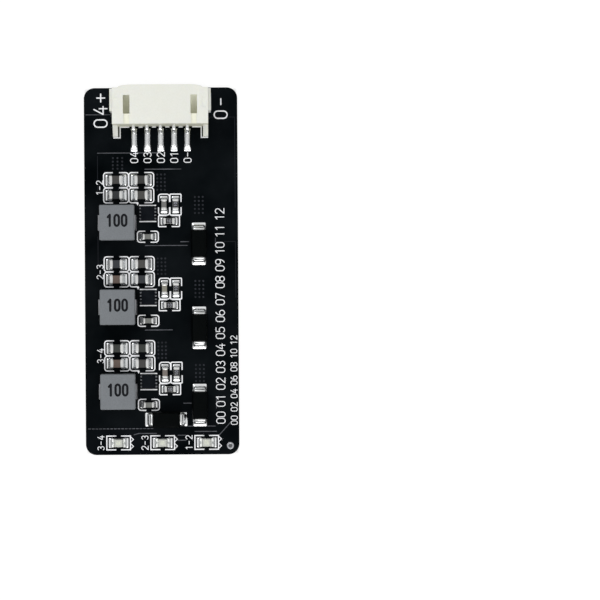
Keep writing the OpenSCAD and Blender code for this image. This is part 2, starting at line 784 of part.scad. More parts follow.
module solder_joints() {
    color([0.78, 0.79, 0.8]) {
        for (i = [0:contacts - 1]) translate([contact_x(i), foot_end, pad_top])
            rotate([0, 0, -90]) solder_wedge(0.6, 0.75 * contact_t, contact_w);
        for (i = [0:channels - 1]) {
            for (x = cap_x, y = [row_y(i), low_row_y(i)])
                translate([x, y, 0]) joint_pair(cap_l, cap_toe, 0.6 * cap_h, cap_w);
            translate([column_x[0], column_y(i), 0]) rotate([0, 0, 90])
                joint_pair(small_l, small_toe, 0.6 * small_cap_h, small_w);
            translate([column_x[1], column_y(i), 0]) rotate([0, 0, 90])
                joint_pair(small_l, small_toe, 0.8 * resistor_h, small_w);
            translate([set_resistor_x, set_resistor_y(i), 0])
                joint_pair(small_l, small_toe, 0.8 * resistor_h, small_w);
            translate([chip_x, bypass_y(i), 0]) joint_pair(small_l, small_toe, 0.6 * small_cap_h, small_w);
            translate([lamp_x[i], lamp_y, 0]) joint_pair(lamp_l, lamp_toe, 0.6 * lamp_base_h, lamp_w);
        }
        for (i = [0:channels]) translate(diode_at(i)) rotate([0, 0, diode_turn(i)])
            joint_pair(diode_l + 2 * diode_lead_out, diode_toe, 0.6, diode_lead_w);
    }
}

// ---------- which node is drawn ----------

circuit_board();
copper_pads();
silkscreen();
solder_joints();
header_housing();
header_tabs();
chip_lands();
for (i = [0:contacts - 1])
    header_contact(i);
for (i = [0:channels - 1]) {
    for (k = [0:3])
        bulk_capacitor(i, k);
    inductor_core(i);
    inductor_terminals(i);
    balancer_chip(i);
    timing_capacitor(i);
    bypass_capacitor(i);
    sense_resistor(i);
    set_resistor(i);
    lamp_base(i);
    lamp_lens(i);
}
for (i = [0:channels]) {
    diode_body(i);
    diode_leads(i);
}
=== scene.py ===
# %% [markdown]
# # A four-cell battery balancing board
#
# A balancing board is a thin black circuit board with a plug header at one end, three equal
# groups of parts down its length and three small lamps at the other end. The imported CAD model
# gives every piece its size and place. This notebook dresses it: first tools that turn arrays
# of numbers into meshes, then the finishes, then each kind of piece in the order in which a
# factory would add it, and last the camera and the light. Lengths are in metres.

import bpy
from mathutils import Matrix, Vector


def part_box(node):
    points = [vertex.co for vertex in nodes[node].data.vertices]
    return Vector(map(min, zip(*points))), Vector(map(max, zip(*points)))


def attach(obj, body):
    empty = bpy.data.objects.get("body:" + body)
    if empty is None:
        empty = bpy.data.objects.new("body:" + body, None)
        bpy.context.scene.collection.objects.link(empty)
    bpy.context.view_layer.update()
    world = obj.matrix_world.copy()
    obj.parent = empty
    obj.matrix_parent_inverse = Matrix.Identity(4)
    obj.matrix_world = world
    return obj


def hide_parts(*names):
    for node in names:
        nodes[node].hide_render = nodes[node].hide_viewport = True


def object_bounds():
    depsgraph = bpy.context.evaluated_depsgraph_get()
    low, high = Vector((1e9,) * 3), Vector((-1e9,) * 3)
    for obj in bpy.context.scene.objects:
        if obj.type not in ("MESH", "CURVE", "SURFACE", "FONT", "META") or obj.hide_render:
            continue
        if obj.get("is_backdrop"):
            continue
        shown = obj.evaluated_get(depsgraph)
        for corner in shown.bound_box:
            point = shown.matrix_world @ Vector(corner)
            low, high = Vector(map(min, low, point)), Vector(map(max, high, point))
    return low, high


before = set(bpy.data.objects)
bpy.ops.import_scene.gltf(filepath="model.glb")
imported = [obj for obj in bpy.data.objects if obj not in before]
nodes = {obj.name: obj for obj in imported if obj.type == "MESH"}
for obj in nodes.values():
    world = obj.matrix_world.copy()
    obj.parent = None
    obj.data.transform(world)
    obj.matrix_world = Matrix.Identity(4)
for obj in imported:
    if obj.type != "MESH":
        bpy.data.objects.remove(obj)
cad_low, cad_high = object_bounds()
print("CAD box", [round(high - low, 5) for low, high in zip(cad_low, cad_high)])

# %% Tools and the unit
import math

import bmesh
import bpy
import numpy as np

mm = 0.001
print(len(nodes), "CAD nodes")

# %% [markdown]
# ## Reading places from the frame
#
# Nothing here is measured twice. `span` gives a node's lowest and highest corner, and `islands`
# splits a node that holds many loose solids, such as the copper pads, into one box for each. It
# welds a copy of the node's mesh first, because an imported mesh is loose triangles.

# %% Boxes of nodes and of their loose solids
def span(node):
    """Lowest and highest corner of a CAD node, as arrays."""
    low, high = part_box(node)
    return np.array(low), np.array(high)


def of_kind(prefix):
    """Names of the nodes that start with a prefix, in order."""
    return sorted(name for name in nodes if name.startswith(prefix))


def welded_copy(node):
    """A bmesh of a node with its loose triangles welded at shared corners."""
    work = bmesh.new()
    work.from_mesh(nodes[node].data)
    bmesh.ops.remove_doubles(work, verts=work.verts, dist=1e-7)
    return work


def islands(node):
    """Boxes (low, high) of the loose solids in a node: a flood fill over shared edges."""
    work = welded_copy(node)
    todo, boxes = set(work.verts), []
    while todo:
        waiting, group = [todo.pop()], []
        while waiting:
            corner = waiting.pop()
            group.append(corner.co[:])
            for edge in corner.link_edges:
                other = edge.other_vert(corner)
                if other in todo:
                    todo.remove(other)
                    waiting.append(other)
        group = np.array(group)
        boxes.append((group.min(axis=0), group.max(axis=0)))
    work.free()
    return boxes


board_low, board_high = span("circuit_board")
board_top = board_high[2]
pads = islands("copper_pads")
print(len(pads), "pads on a board", np.round((board_high - board_low) / mm, 2), "mm")

# %% [markdown]
# ## Meshes from grids
#
# Every new surface here is a grid of points: rows go one way over it and columns go the other
# way. In a grid the faces follow from the counts alone, so numpy can work out a whole surface at
# once. One helper lists the four-cornered faces between the points, and one turns finished
# arrays into an object. A ring grid joins its last column to its first.

# %% Grid faces and the piece builder
def grid_faces(rows, cols, ring=False):
    """Faces of a rows x cols grid: each joins point (r, c) to its next row and column."""
    r, c = np.meshgrid(np.arange(rows - 1), np.arange(cols - (not ring)), indexing="ij")
    after = (c + 1) % cols
    return np.stack([r * cols + c, r * cols + after, (r + 1) * cols + after, (r + 1) * cols + c],
                    axis=-1).reshape(-1, 4)


def piece_from(name, parts, materials, slot, *stands_for):
    """One object from several grids: parts holds (points, faces, material number)."""
    first = np.cumsum([0] + [len(points) for points, _, _ in parts])
    points = np.concatenate([points for points, _, _ in parts])
    faces = np.concatenate([part[1] + start for part, start in zip(parts, first)])
    paint = np.concatenate([np.full(len(part[1]), part[2]) for part in parts])
    mesh = bpy.data.meshes.new(name)
    mesh.from_pydata(points.tolist(), [], faces.tolist())
    mesh.polygons.foreach_set("material_index", paint.astype(np.int32))
    mesh.polygons.foreach_set("use_smooth", np.full(len(paint), True))
    work = bmesh.new()
    work.from_mesh(mesh)
    bmesh.ops.remove_doubles(work, verts=work.verts, dist=1e-8)
    work.to_mesh(mesh)
    work.free()
    return settle(name, mesh, materials, slot, *stands_for)


def placed(name, data):
    """A new object in the scene for a mesh, lamp or camera."""
    thing = bpy.data.objects.new(name, data)
    bpy.context.collection.objects.link(thing)
    return thing


def settle(name, mesh, materials, slot, *stands_for):
    """Places a mesh as a piece that rides on the board and stands for CAD nodes."""
    for material in materials:
        mesh.materials.append(material)
    piece = placed(name, mesh)
    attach(piece, "root")
    if stands_for:
        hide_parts(*stands_for)
    return piece


print("a 3 x 4 grid has", len(grid_faces(3, 4)), "faces")

# %% [markdown]
# ## Rounded blocks
#
# Moulded, pressed and dipped parts have no sharp edges, and the light that runs along an edge
# is what makes a tiny part look solid. A cube with a Bevel is the usual way, but here later
# steps move the points by where they lie, which a modifier comes too late for. So a rounded
# block is a box whose surface points are pulled in: each point is split into the nearest point
# of a smaller inner box and a leftover direction, and the leftover is given the length of the
# radius. The grid lines crowd together at the edges, where the surface bends.

# %% A rounded block
def ticks(half, radius, bands=3):
    """Grid positions along one edge: few on the flat, evenly turned steps over each end."""
    core = half - radius
    flat = core * np.array([-1, -0.96, -0.4, 0.4, 0.96, 1])
    turn = core + radius * np.tan(np.linspace(0, math.pi / 4, bands + 1))[1:]
    return np.concatenate([-turn[::-1], flat, turn])


def rounded_block(half, radius):
    """Points and faces of a box of given half sizes whose edges have one radius.

    A point q on the sharp box becomes c + radius * (q - c) / |q - c|, where c is q clamped to
    the box that is smaller by the radius on every side.
    """
    half = np.array(half, dtype=float)
    points, faces, count = [], [], 0
    for axis in range(3):
        a, b = (axis + 1) % 3, (axis + 2) % 3
        along_a, along_b = ticks(half[a], radius), ticks(half[b], radius)
        grid_a, grid_b = np.meshgrid(along_a, along_b, indexing="ij")
        for side in (-1, 1):
            q = np.empty(grid_a.shape + (3,))
            q[..., a], q[..., b], q[..., axis] = grid_a, grid_b, side * half[axis]
            quads = grid_faces(len(along_a), len(along_b))
            faces.append((quads[:, ::-1] if side > 0 else quads) + count)
            points.append(q.reshape(-1, 3))
            count += len(points[-1])
    q = np.concatenate(points)
    core = np.clip(q, radius - half, half - radius)
    out = q - core
    return core + radius * out / np.linalg.norm(out, axis=1, keepdims=True), np.concatenate(faces)


print("a rounded block has", len(rounded_block((1, 1, 1), 0.1)[1]), "faces")

# %% [markdown]
# ## Lofts
#
# A lens, a moulded body and a patch of glaze are all round-cornered rectangles whose size
# changes with height. Scaling the top of a cube would give their taper but neither their round
# corners nor their soft upper edge. `outline` walks once round such a rectangle, and `loft`
# stacks outlines into rings. A ring of no size at each end closes it in a single point.

# %% Outlines and lofts
def outline(half_x, half_y, radius, per_corner=6):
    """Points round a rectangle with round corners: four quarter circles, anticlockwise."""
    turn = np.linspace(0, math.pi / 2, per_corner)
    angle = (turn + np.arange(4)[:, None] * math.pi / 2).ravel()
    sign_x = np.repeat([1, -1, -1, 1], per_corner)
    sign_y = np.repeat([1, 1, -1, -1], per_corner)
    return np.stack([sign_x * (half_x - radius) + radius * np.cos(angle),
                     sign_y * (half_y - radius) + radius * np.sin(angle)], axis=-1)


def loft(levels, per_corner=6):
    """A closed skin over levels (z, half_x, half_y, radius), from the bottom to the top."""
    rings = [np.column_stack([outline(hx, hy, r, per_corner), np.full(4 * per_corner, z)])
             for z, hx, hy, r in levels]
    bottom, top = rings[0] * [0, 0, 1], rings[-1] * [0, 0, 1]
    points = np.concatenate([bottom, *rings, top])
    return points, grid_faces(len(rings) + 2, 4 * per_corner, ring=True)


print("a loft of 4 levels has", len(loft([(0, 1, 1, 0.2)] * 4)[1]), "faces")

# %% [markdown]
# ## Strokes
#
# Printed numbers and tracks under the solder mask are lines of one width with round ends. A
# bevelled curve would be a round wire, half of it inside the board. A stroke is only what shows:
# it carries a low arch along a path, and at each end the arch shrinks as a half circle does,
# which closes the line with a round tip.

# %% Strokes
def stroke(path, width, rise, base):
    """A low arch carried along a flat path, with round ends, standing on height base.

    The sides stand straight up to 0.6 of the rise, and a flat arch joins them: s is the offset
    over the half width, and lift is the height there over the rise. Beyond each end the line's
    width is multiplied by sqrt(1 - t^2), with t going from 0 to 1 over half a width, and its
    height by the square root of that.
    """
    tip_rings = 4
    path = np.asarray(path, dtype=float)
    run = np.gradient(path, axis=0)
    run /= np.linalg.norm(run, axis=1, keepdims=True)
    t = np.sin(np.linspace(0, math.pi / 2, tip_rings + 1))[1:, None]
    centre = np.concatenate([path[0] - run[0] * t[::-1] * width / 2, path,
                             path[-1] + run[-1] * t * width / 2])
    along = np.concatenate([np.repeat(run[:1], tip_rings, axis=0), run,
                            np.repeat(run[-1:], tip_rings, axis=0)])
    cap = np.sqrt(np.maximum(1 - t[:, 0] ** 2, 0))
    share = np.concatenate([cap[::-1], np.ones(len(path)), cap])
    side = np.column_stack([-along[:, 1], along[:, 0]])
    s = np.array([-1, -1, -0.6, 0, 0.6, 1, 1])
    lift = np.array([0, 0.6, 0.94, 1, 0.94, 0.6, 0])
    flat = centre[:, None] + side[:, None] * (share * width / 2)[:, None, None] * s[None, :, None]
    height = base + rise * lift * share[:, None] ** 0.5
    points = np.concatenate([flat, height[..., None]], axis=-1).reshape(-1, 3)
    return points, grid_faces(len(centre), len(s))[:, ::-1]


print("a straight stroke has", len(stroke([(0, 0), (1, 0)], 0.1, 0.01, 0)[1]), "faces")

# %% [markdown]
# ## Shared surface effects
#
# Four effects come back on many parts of a board: the fine grain of pressed or moulded stuff,
# the rippled skin of tin that has been molten, slow blotches of tone, and specks of dust. Each
# is a node group with its own inputs, built once. A group gives out only heights and masks: the
# shader that turns them into light stays in each material. All of them read Object coordinates,
# which are metres on the board, so their scales are in features per metre.

# %% Node helpers
def srgb(*levels):
    """Linear colour from three display levels, 0 to 255: the display curve undone."""
    v = np.array(levels) / 255
    return (*np.where(v <= 0.04045, v / 12.92, ((v + 0.055) / 1.055) ** 2.4), 1)


def new_group(name, inputs, outputs):
    """An empty shader group with float inputs {label: value} and float outputs."""
    tree = bpy.data.node_groups.new(name, "ShaderNodeTree")
    for label, value in inputs.items():
        socket = tree.interface.new_socket(label, in_out="INPUT", socket_type="NodeSocketFloat")
        socket.default_value = value
    for label in outputs:
        tree.interface.new_socket(label, in_out="OUTPUT", socket_type="NodeSocketFloat")
    return tree, tree.nodes.new("NodeGroupInput"), tree.nodes.new("NodeGroupOutput")


def add(tree, kind, links=None, **settings):
    """A node of one kind with its settings, fed from links {input: socket or value}."""
    node = tree.nodes.new("ShaderNode" + kind)
    for key, value in settings.items():
        setattr(node, key, value)
    for key, source in (links or {}).items():
        if isinstance(source, bpy.types.NodeSocket):
            tree.links.new(source, node.inputs[key])
        else:
            node.inputs[key].default_value = source
    return node


def ramp(tree, value, low, high, out_low=0.0, out_high=1.0):
    """value taken from low..high to out_low..out_high, held at both ends."""
    links = {"Value": value, "From Min": low, "From Max": high, "To Min": out_low, "To Max": out_high}
    return add(tree, "MapRange", links).outputs["Result"]


def maths(tree, operation, *inputs):
    """The result of one operation on sockets or values."""
    return add(tree, "Math", dict(enumerate(inputs)), operation=operation).outputs[0]


def on_board(tree):
    """The place on the board in metres: Object coordinates, as every piece sits at the origin."""
    return add(tree, "TexCoord").outputs["Object"]


def noise(tree, place, scale, detail):
    """The outputs of a noise at a place."""
    return add(tree, "TexNoise", {"Vector": place, "Scale": scale, "Detail": detail}).outputs


print("mid grey reads", round(float(srgb(119, 119, 119)[0]), 3))

# %% [markdown]
# Grain is two noises of different size added together, so that it has a coarse tooth as well as
# a fine one. The ripple of tin is a noise that bends a second noise, which gives the lazy,
# uneven shine of metal that froze as it flowed. Blotches are one very slow noise. Dust keeps
# only the heart of a few cells of a cell pattern.

# %% Grain and tin
def grain_group():
    """Height = coarse noise + half of a noise four times finer; Tone is the coarse noise alone."""
    tree, given, out = new_group("pressed grain", {"Scale": 9000.0}, ("Height", "Tone"))
    place, scale = on_board(tree), given.outputs["Scale"]
    coarse = noise(tree, place, scale, 2.0)["Fac"]
    fine = noise(tree, place, maths(tree, "MULTIPLY", scale, 4.0), 2.0)["Fac"]
    tree.links.new(maths(tree, "MULTIPLY_ADD", fine, 0.5, coarse), out.inputs["Height"])
    tree.links.new(ramp(tree, coarse, 0.3, 0.7), out.inputs["Tone"])
    return tree


def tin_group():
    """Height is a noise whose place is pushed about by a slower noise; Gloss is the slow one."""
    tree, given, out = new_group("frozen tin", {"Scale": 2500.0, "Flow": 0.0004}, ("Height", "Gloss"))
    place, scale = on_board(tree), given.outputs["Scale"]
    slow = noise(tree, place, scale, 1.0)
    push = add(tree, "VectorMath", {0: slow["Color"], "Scale": given.outputs["Flow"]}, operation="SCALE")
    moved = add(tree, "VectorMath", {0: place, 1: push.outputs[0]}, operation="ADD")
    skin = noise(tree, moved.outputs[0], maths(tree, "MULTIPLY", scale, 2.2), 3.0)
    tree.links.new(skin["Fac"], out.inputs["Height"])
    tree.links.new(ramp(tree, slow["Fac"], 0.3, 0.7), out.inputs["Gloss"])
    return tree


grain, tin_skin = grain_group(), tin_group()
print("groups:", grain.name, "-", tin_skin.name)

# %% Blotches and dust
def blotch_group():
    """Mask from 0 to 1: one slow noise, stretched to its full range."""
    tree, given, out = new_group("slow blotches", {"Scale": 350.0, "Seed": 0.0}, ("Mask",))
    cloud = add(tree, "TexNoise", {"Vector": on_board(tree), "W": given.outputs["Seed"],
                                   "Scale": given.outputs["Scale"], "Detail": 3.0},
                noise_dimensions="4D")
    tree.links.new(ramp(tree, cloud.outputs["Fac"], 0.32, 0.68), out.inputs["Mask"])
    return tree


def dust_group():
    """Mask is 1 in the heart of the few cells whose own random number passes Rarity."""
    tree, given, out = new_group("dust specks", {"Scale": 2600.0, "Rarity": 0.96}, ("Mask",))
    cells = add(tree, "TexVoronoi", {"Vector": on_board(tree), "Scale": given.outputs["Scale"]})
    number = add(tree, "SeparateColor", {"Color": cells.outputs["Color"]})
    rare = maths(tree, "GREATER_THAN", number.outputs[0], given.outputs["Rarity"])
    heart = ramp(tree, cells.outputs["Distance"], 0.05, 0.2, 1.0, 0.0)
    tree.links.new(maths(tree, "MULTIPLY", rare, heart), out.inputs["Mask"])
    return tree


blotches, dust = blotch_group(), dust_group()
print("groups:", blotches.name, "-", dust.name)

# %% [markdown]
# ## Finishes
#
# A finish starts from one colour and a roughness. `Finish` keeps the material, its tree and its
# shader together. `group` places a shared group with this material's own values, and three
# steps use what the group gives: `tone` mixes a second colour in by a mask, `relief` feeds a
# height to a bump, and `shine` lets a mask move the roughness between two values. Written out
# node by node, each of the finishes below would be ten times as long.

# %% The finish builder
class Finish:
    """A material under construction: a shader, its colour so far and its steps."""

    def __init__(self, name, colour, roughness, specular=0.5, **sockets):
        self.material = bpy.data.materials.new(name)
        self.material.use_nodes = True
        self.material.diffuse_color = colour
        self.tree = self.material.node_tree
        self.shader = self.tree.nodes["Principled BSDF"]
        values = {"Base Color": colour, "Roughness": roughness, "Specular IOR Level": specular, **sockets}
        for label, value in values.items():
            self.shader.inputs[label].default_value = value

    def group(self, tree, **values):
        """Places a shared group with this material's values."""
        node = self.tree.nodes.new("ShaderNodeGroup")
        node.node_tree = tree
        for label, value in values.items():
            node.inputs[label].default_value = value
        return node.outputs

    def tone(self, mask, colour, amount=1.0):
        """Mixes a colour over the base where the mask is 1."""
        share = ramp(self.tree, mask, 0.0, 1.0, 0.0, amount)
        mix = add(self.tree, "Mix", {"Factor": share}, data_type="RGBA")
        under, over = [socket for socket in mix.inputs if socket.type == "RGBA"]
        result = next(socket for socket in mix.outputs if socket.type == "RGBA")
        over.default_value = colour
        base = self.shader.inputs["Base Color"]
        if base.is_linked:
            self.tree.links.new(base.links[0].from_socket, under)
        else:
            under.default_value = base.default_value
        self.tree.links.new(result, base)
        return self

    def relief(self, height, depth):
        """Feeds a height to a bump whose full range is depth metres."""
        links = {"Height": height, "Distance": depth, "Strength": 1.0}
        normal = self.shader.inputs["Normal"]
        if normal.is_linked:
            links["Normal"] = normal.links[0].from_socket
        bump = add(self.tree, "Bump", links)
        self.tree.links.new(bump.outputs["Normal"], normal)
        return self

    def shine(self, mask, low, high):
        """Roughness goes from low to high as the mask goes from 0 to 1."""
        self.tree.links.new(ramp(self.tree, mask, 0.0, 1.0, low, high), self.shader.inputs["Roughness"])
        return self


print("a finish has a tone, a relief and a shine")

# %% [markdown]
# ### The board
#
# The board is glass cloth in epoxy with a black lacquer, the solder mask, on both faces. The
# lacquer is nearly black with a little blue, and it follows the cloth and the copper below, so
# it is never quite flat. The routed sides show the bare laminate: threads of glass that run
# along the board in thin layers. The shader tells a side from a face by its normal, so the CAD
# board needs no second material.

# %% Board finish
def board_finish():
    """Black lacquer on the faces and bare layered laminate on the routed sides."""
    made = Finish("solder_mask", srgb(0, 3, 5), 0.42, specular=0.02)
    slow = made.group(blotches, Scale=160.0)
    made.tone(slow["Mask"], srgb(15, 19, 22))
    specks = made.group(dust, Scale=900.0, Rarity=0.985)
    made.tone(specks["Mask"], srgb(30, 33, 38))
    tree = made.tree
    layer = add(tree, "TexWave", {"Vector": on_board(tree), "Scale": 1100.0, "Distortion": 3.0,
                                  "Detail": 3.0, "Detail Scale": 4.0}, bands_direction="Z")
    facing = add(tree, "SeparateXYZ", {"Vector": add(tree, "NewGeometry").outputs["Normal"]})
    side = ramp(tree, maths(tree, "ABSOLUTE", facing.outputs["Z"]), 0.3, 0.7, 1.0, 0.0)
    made.tone(side, srgb(58, 53, 40))
    made.tone(maths(tree, "MULTIPLY", layer.outputs["Fac"], side), srgb(96, 90, 70), 0.6)
    made.shine(side, 0.42, 0.75)
    peel = made.group(grain, Scale=1400.0)
    return made.relief(peel["Height"], 0.006 * mm).material


solder_mask = board_finish()
print("board finish:", solder_mask.name)

# %% [markdown]
# ### Lacquer over copper, and printed ink
#
# Where the lacquer runs over a copper track or a covered hole it stands a little higher. Its
# lighter grey is a painted sheen, for the light that its raised edge catches. The legend is thick
# white ink, a touch lilac against black, and not perfectly dense.

# %% Track and legend finishes
def track_finish(name, colour):
    """Lacquer over copper, painted a lighter grey than the board's black: a painted sheen."""
    made = Finish(name, colour, 0.36, specular=0.1)
    slow = made.group(blotches, Scale=700.0)
    made.tone(slow["Mask"], srgb(10, 12, 16), 0.6)
    return made.relief(made.group(grain, Scale=3000.0)["Height"], 0.004 * mm).material


def ink_finish():
    """White epoxy ink with thin places and a fine tooth."""
    made = Finish("legend_ink", srgb(250, 251, 253), 0.55, specular=0.3)
    thin = made.group(grain, Scale=5000.0)
    made.tone(thin["Tone"], srgb(218, 220, 226), 0.45)
    return made.relief(thin["Height"], 0.004 * mm).material


# Each of these lacquer colours is painted lighter than the board: a painted sheen, strongest over the
# brighter tracks.
bright_sheen_track = track_finish("mask_over_copper", srgb(102, 104, 110))
dim_sheen_track = track_finish("mask_over_buried_copper", srgb(26, 29, 35))
hole_sheen_mask = track_finish("mask_over_hole", srgb(46, 49, 55))
legend_ink = ink_finish()
print("track and legend finishes:", bright_sheen_track.name, dim_sheen_track.name, hole_sheen_mask.name, legend_ink.name)

# %% [markdown]
# ### Tin, in five states
#
# Solder is the brightest: it froze as a smooth skin. The dipped ends of chip parts are duller
# and finely grained. Plated strip, as on contacts and leads, keeps faint lines from rolling.
# The inductor's terminals and the test hole are older, greyer tin, and the chip's pads are dull
# from heat. One function makes all five from the shared ripple, with its own colour, roughness
# and depth for each.

# %% Tin finishes
def tin_finish(name, colour, smooth, rough, depth, scale=2500.0):
    """Tin whose roughness drifts from smooth to rough and whose skin ripples by depth."""
    made = Finish(name, colour, rough, Metallic=1.0)
    skin = made.group(tin_skin, Scale=scale)
    made.shine(skin["Gloss"], smooth, rough)
    slow = made.group(blotches, Scale=1200.0)
    made.tone(slow["Mask"], tuple(0.82 * level for level in colour[:3]) + (1,), 0.5)
    return made.relief(skin["Height"], depth).material


solder_tin = tin_finish("solder_tin", srgb(246, 248, 249), 0.12, 0.2, 0.0005 * mm, 1200.0)
dipped_tin = tin_finish("dipped_tin", srgb(222, 223, 222), 0.34, 0.42, 0.0005 * mm, 3000.0)
strip_tin = tin_finish("strip_tin", srgb(232, 234, 234), 0.2, 0.32, 0.0005 * mm, 1500.0)
aged_tin = tin_finish("aged_tin", srgb(168, 170, 174), 0.35, 0.5, 0.001 * mm)
dull_tin = tin_finish("dull_tin", srgb(118, 120, 124), 0.4, 0.55, 0.003 * mm)
print("tin finishes:", solder_tin.name, dipped_tin.name, strip_tin.name, aged_tin.name, dull_tin.name)

# %% [markdown]
# ### Moulded, pressed and fired parts
#
# The header is ivory nylon. The chips and diodes are matt black epoxy, with a navy cast on the
# chips. The inductors are iron powder pressed with resin, a flat mid grey with a sandy grain.
# Fired capacitor ceramic differs from one batch to the next, so each tint is its own finish
# made by one function.

# %% Body finishes
def grained(name, colour, other, roughness, scale, depth, **sockets):
    """A body colour with grain, a second tone by slow blotches and a matching relief."""
    made = Finish(name, colour, roughness, **sockets)
    tooth = made.group(grain, Scale=scale)
    made.tone(tooth["Tone"], other, 0.6)
    made.tone(made.group(blotches, Scale=500.0)["Mask"], other, 0.3)
    return made.relief(tooth["Height"], depth).material


glow_through = {"Subsurface Weight": 0.12, "Subsurface Radius": (0.0006, 0.0005, 0.0003),
                "Subsurface Scale": 1.0}
nylon = grained("ivory_nylon", srgb(237, 238, 231), srgb(230, 231, 222), 0.42, 5000.0, 0.003 * mm,
                specular=0.25, **glow_through)
# A lighter, warmer copy of the nylon for the socket's inner faces: painted light, for the glow through
# the walls.
shaded_nylon = grained("shaded_nylon", srgb(242, 242, 225), srgb(234, 234, 214), 0.5, 4000.0, 0.003 * mm)
powder = grained("pressed_powder", srgb(128, 132, 136), srgb(108, 112, 116), 0.62, 6000.0, 0.008 * mm,
                 specular=0.2)
chip_epoxy = grained("chip_epoxy", srgb(10, 14, 19), srgb(17, 22, 28), 0.5, 6000.0, 0.004 * mm,
                     specular=0.05)
diode_epoxy = grained("diode_epoxy", srgb(1, 3, 3), srgb(6, 9, 10), 0.55, 7000.0, 0.006 * mm,
                      specular=0.03)
alumina = grained("alumina", srgb(225, 226, 222), srgb(205, 206, 200), 0.6, 5000.0, 0.003 * mm)
glaze = grained("resistor_glaze", srgb(16, 16, 20), srgb(26, 26, 31), 0.3, 3000.0, 0.003 * mm)
lamp_ceramic = grained("lamp_ceramic", srgb(252, 254, 252), srgb(238, 240, 238), 0.5, 4000.0, 0.003 * mm)
print("body finishes:", nylon.name, shaded_nylon.name, powder.name, chip_epoxy.name, diode_epoxy.name,
      alumina.name, glaze.name, lamp_ceramic.name)

# %% Ceramic tints
tints = {"umber": (57, 56, 54), "slate": (24, 29, 34), "olive": (66, 65, 62), "bark": (40, 40, 38),
         "russet": (104, 86, 76), "steel": (32, 37, 44), "sage": (36, 41, 36), "sand": (142, 140, 128),
         "rose": (124, 116, 110), "stone": (122, 124, 120), "ash": (118, 118, 116)}
ceramic = {}
for tint, level in tints.items():
    darker = tuple(0.8 * v for v in level)
    ceramic[tint] = grained("ceramic_" + tint, srgb(*level), srgb(*darker), 0.48, 7000.0, 0.004 * mm)
print("ceramic tints:", ", ".join(ceramic))

# %% [markdown]
# ### The lamp's lens, and printed marks
#
# The lens is clear resin over a patch of yellow-green phosphor. The resin passes most light and
# blurs it a little, so the patch glows softly through it and the rim stays pale. The marks on
# inductors and resistors are matt ink, dark on grey powder and pale on dark glaze.

# %% Lens and mark finishes
lens_resin = Finish("lens_resin", srgb(250, 253, 245), 0.3,
                    **{"Transmission Weight": 0.45, "IOR": 1.48}).material
phosphor = grained("phosphor", srgb(240, 243, 206), srgb(226, 231, 178), 0.6, 6000.0, 0.003 * mm)
mark_ink = grained("mark_ink", srgb(22, 24, 27), srgb(34, 36, 39), 0.7, 6000.0, 0.003 * mm,
                   specular=0.05)
pale_mark = grained("pale_mark", srgb(170, 172, 180), srgb(140, 142, 152), 0.6, 6000.0, 0.002 * mm)
print("lens and mark finishes:", lens_resin.name, phosphor.name, mark_ink.name, pale_mark.name)

# %% [markdown]
# ## CAD pieces that stay, and CAD pieces that are softened
#
# The board, its printed outlines and the chip's buried lands have the right shape as they are
# and only take a finish. Bent strip, square wire and the moulded header keep their CAD shape
# too, but their edges are too sharp to catch the light. For those a welded copy of the CAD mesh
# is made, flat triangles are joined into whole faces, and a Bevel rounds what is left.

# %% Dress and soften
def dress(node, material):
    """Gives a CAD node its finish."""
    for slot in nodes[node].material_slots:
        slot.material = material


def softened(name, node, material, slot, width, segments=2, other=None, where=None):
    """A welded copy of a CAD node whose edges sharper than 35 degrees are rounded to width.

    Faces whose centre passes the test `where` take the other material.
    """
    work = welded_copy(node)
    bmesh.ops.dissolve_limit(work, angle_limit=math.radians(1), verts=work.verts, edges=work.edges)
    mesh = bpy.data.meshes.new(name)
    work.to_mesh(mesh)
    work.free()
    mesh.polygons.foreach_set("use_smooth", np.full(len(mesh.polygons), True))
    if other:
        for face in mesh.polygons:
            face.material_index = int(where(np.array(face.center)))
    piece = settle(name, mesh, [material] + [other] * bool(other), slot, node)
    bevel = piece.modifiers.new("rounded edges", "BEVEL")
    bevel.width, bevel.segments, bevel.harden_normals = width, segments, True
    bevel.limit_method, bevel.angle_limit = "ANGLE", math.radians(35)
    return piece


dress("circuit_board", solder_mask)
dress("silkscreen", legend_ink)
dress("chip_lands", strip_tin)
print("dressed the board, its printed outlines and the chip lands")

# %% [markdown]
# ### The header
#
# The housing is one moulding in ivory nylon: a hollow socket with two windows in its top, a
# stepped ear and a foot at each side, and five contacts that pass through its rear wall. Light
# that has passed through the nylon makes the socket look a little yellower inside. That glow is
# painted: the walls of the socket and of its windows get a lighter, warmer copy of the nylon,
# chosen face by face from where the face lies. The contacts are square wire bent once. A wide
# bevel turns their sides away from the bright sky, which leaves one bright line down each wire.

# %% Header: housing, contacts and tabs
shell_low, shell_high = span("header_housing")


def in_socket(place):
    """True for the walls of the socket and of its windows, well inside the outer faces; these take the
    painted glow.
    """
    inset = np.array([1.0, 0.35, 0.12]) * mm
    return bool((shell_low + inset < place).all() and (place < shell_high - inset).all())


# The socket's inner faces take the lighter, warmer nylon copy: a painted glow.
softened("header_shell", "header_housing", nylon, "header_nylon", 0.07 * mm, segments=3,
         other=shaded_nylon, where=in_socket)
for node in of_kind("header_contact_"):
    softened(node + "_wire", node, strip_tin, "tinned_brass", 0.1 * mm, segments=3)
softened("header_tab_pair", "header_tabs", strip_tin, "tinned_brass", 0.04 * mm)
print("header: 1 housing,", len(of_kind("header_contact_")), "contacts and a pair of tabs")

# %% [markdown]
# ### Inductors, chips and leads
#
# Pressed powder crumbles at its edges, so an inductor gets the widest bevel of the three. A
# chip's package is sawn from a sheet and stays almost sharp. Strip is rounded where it is
# sheared.

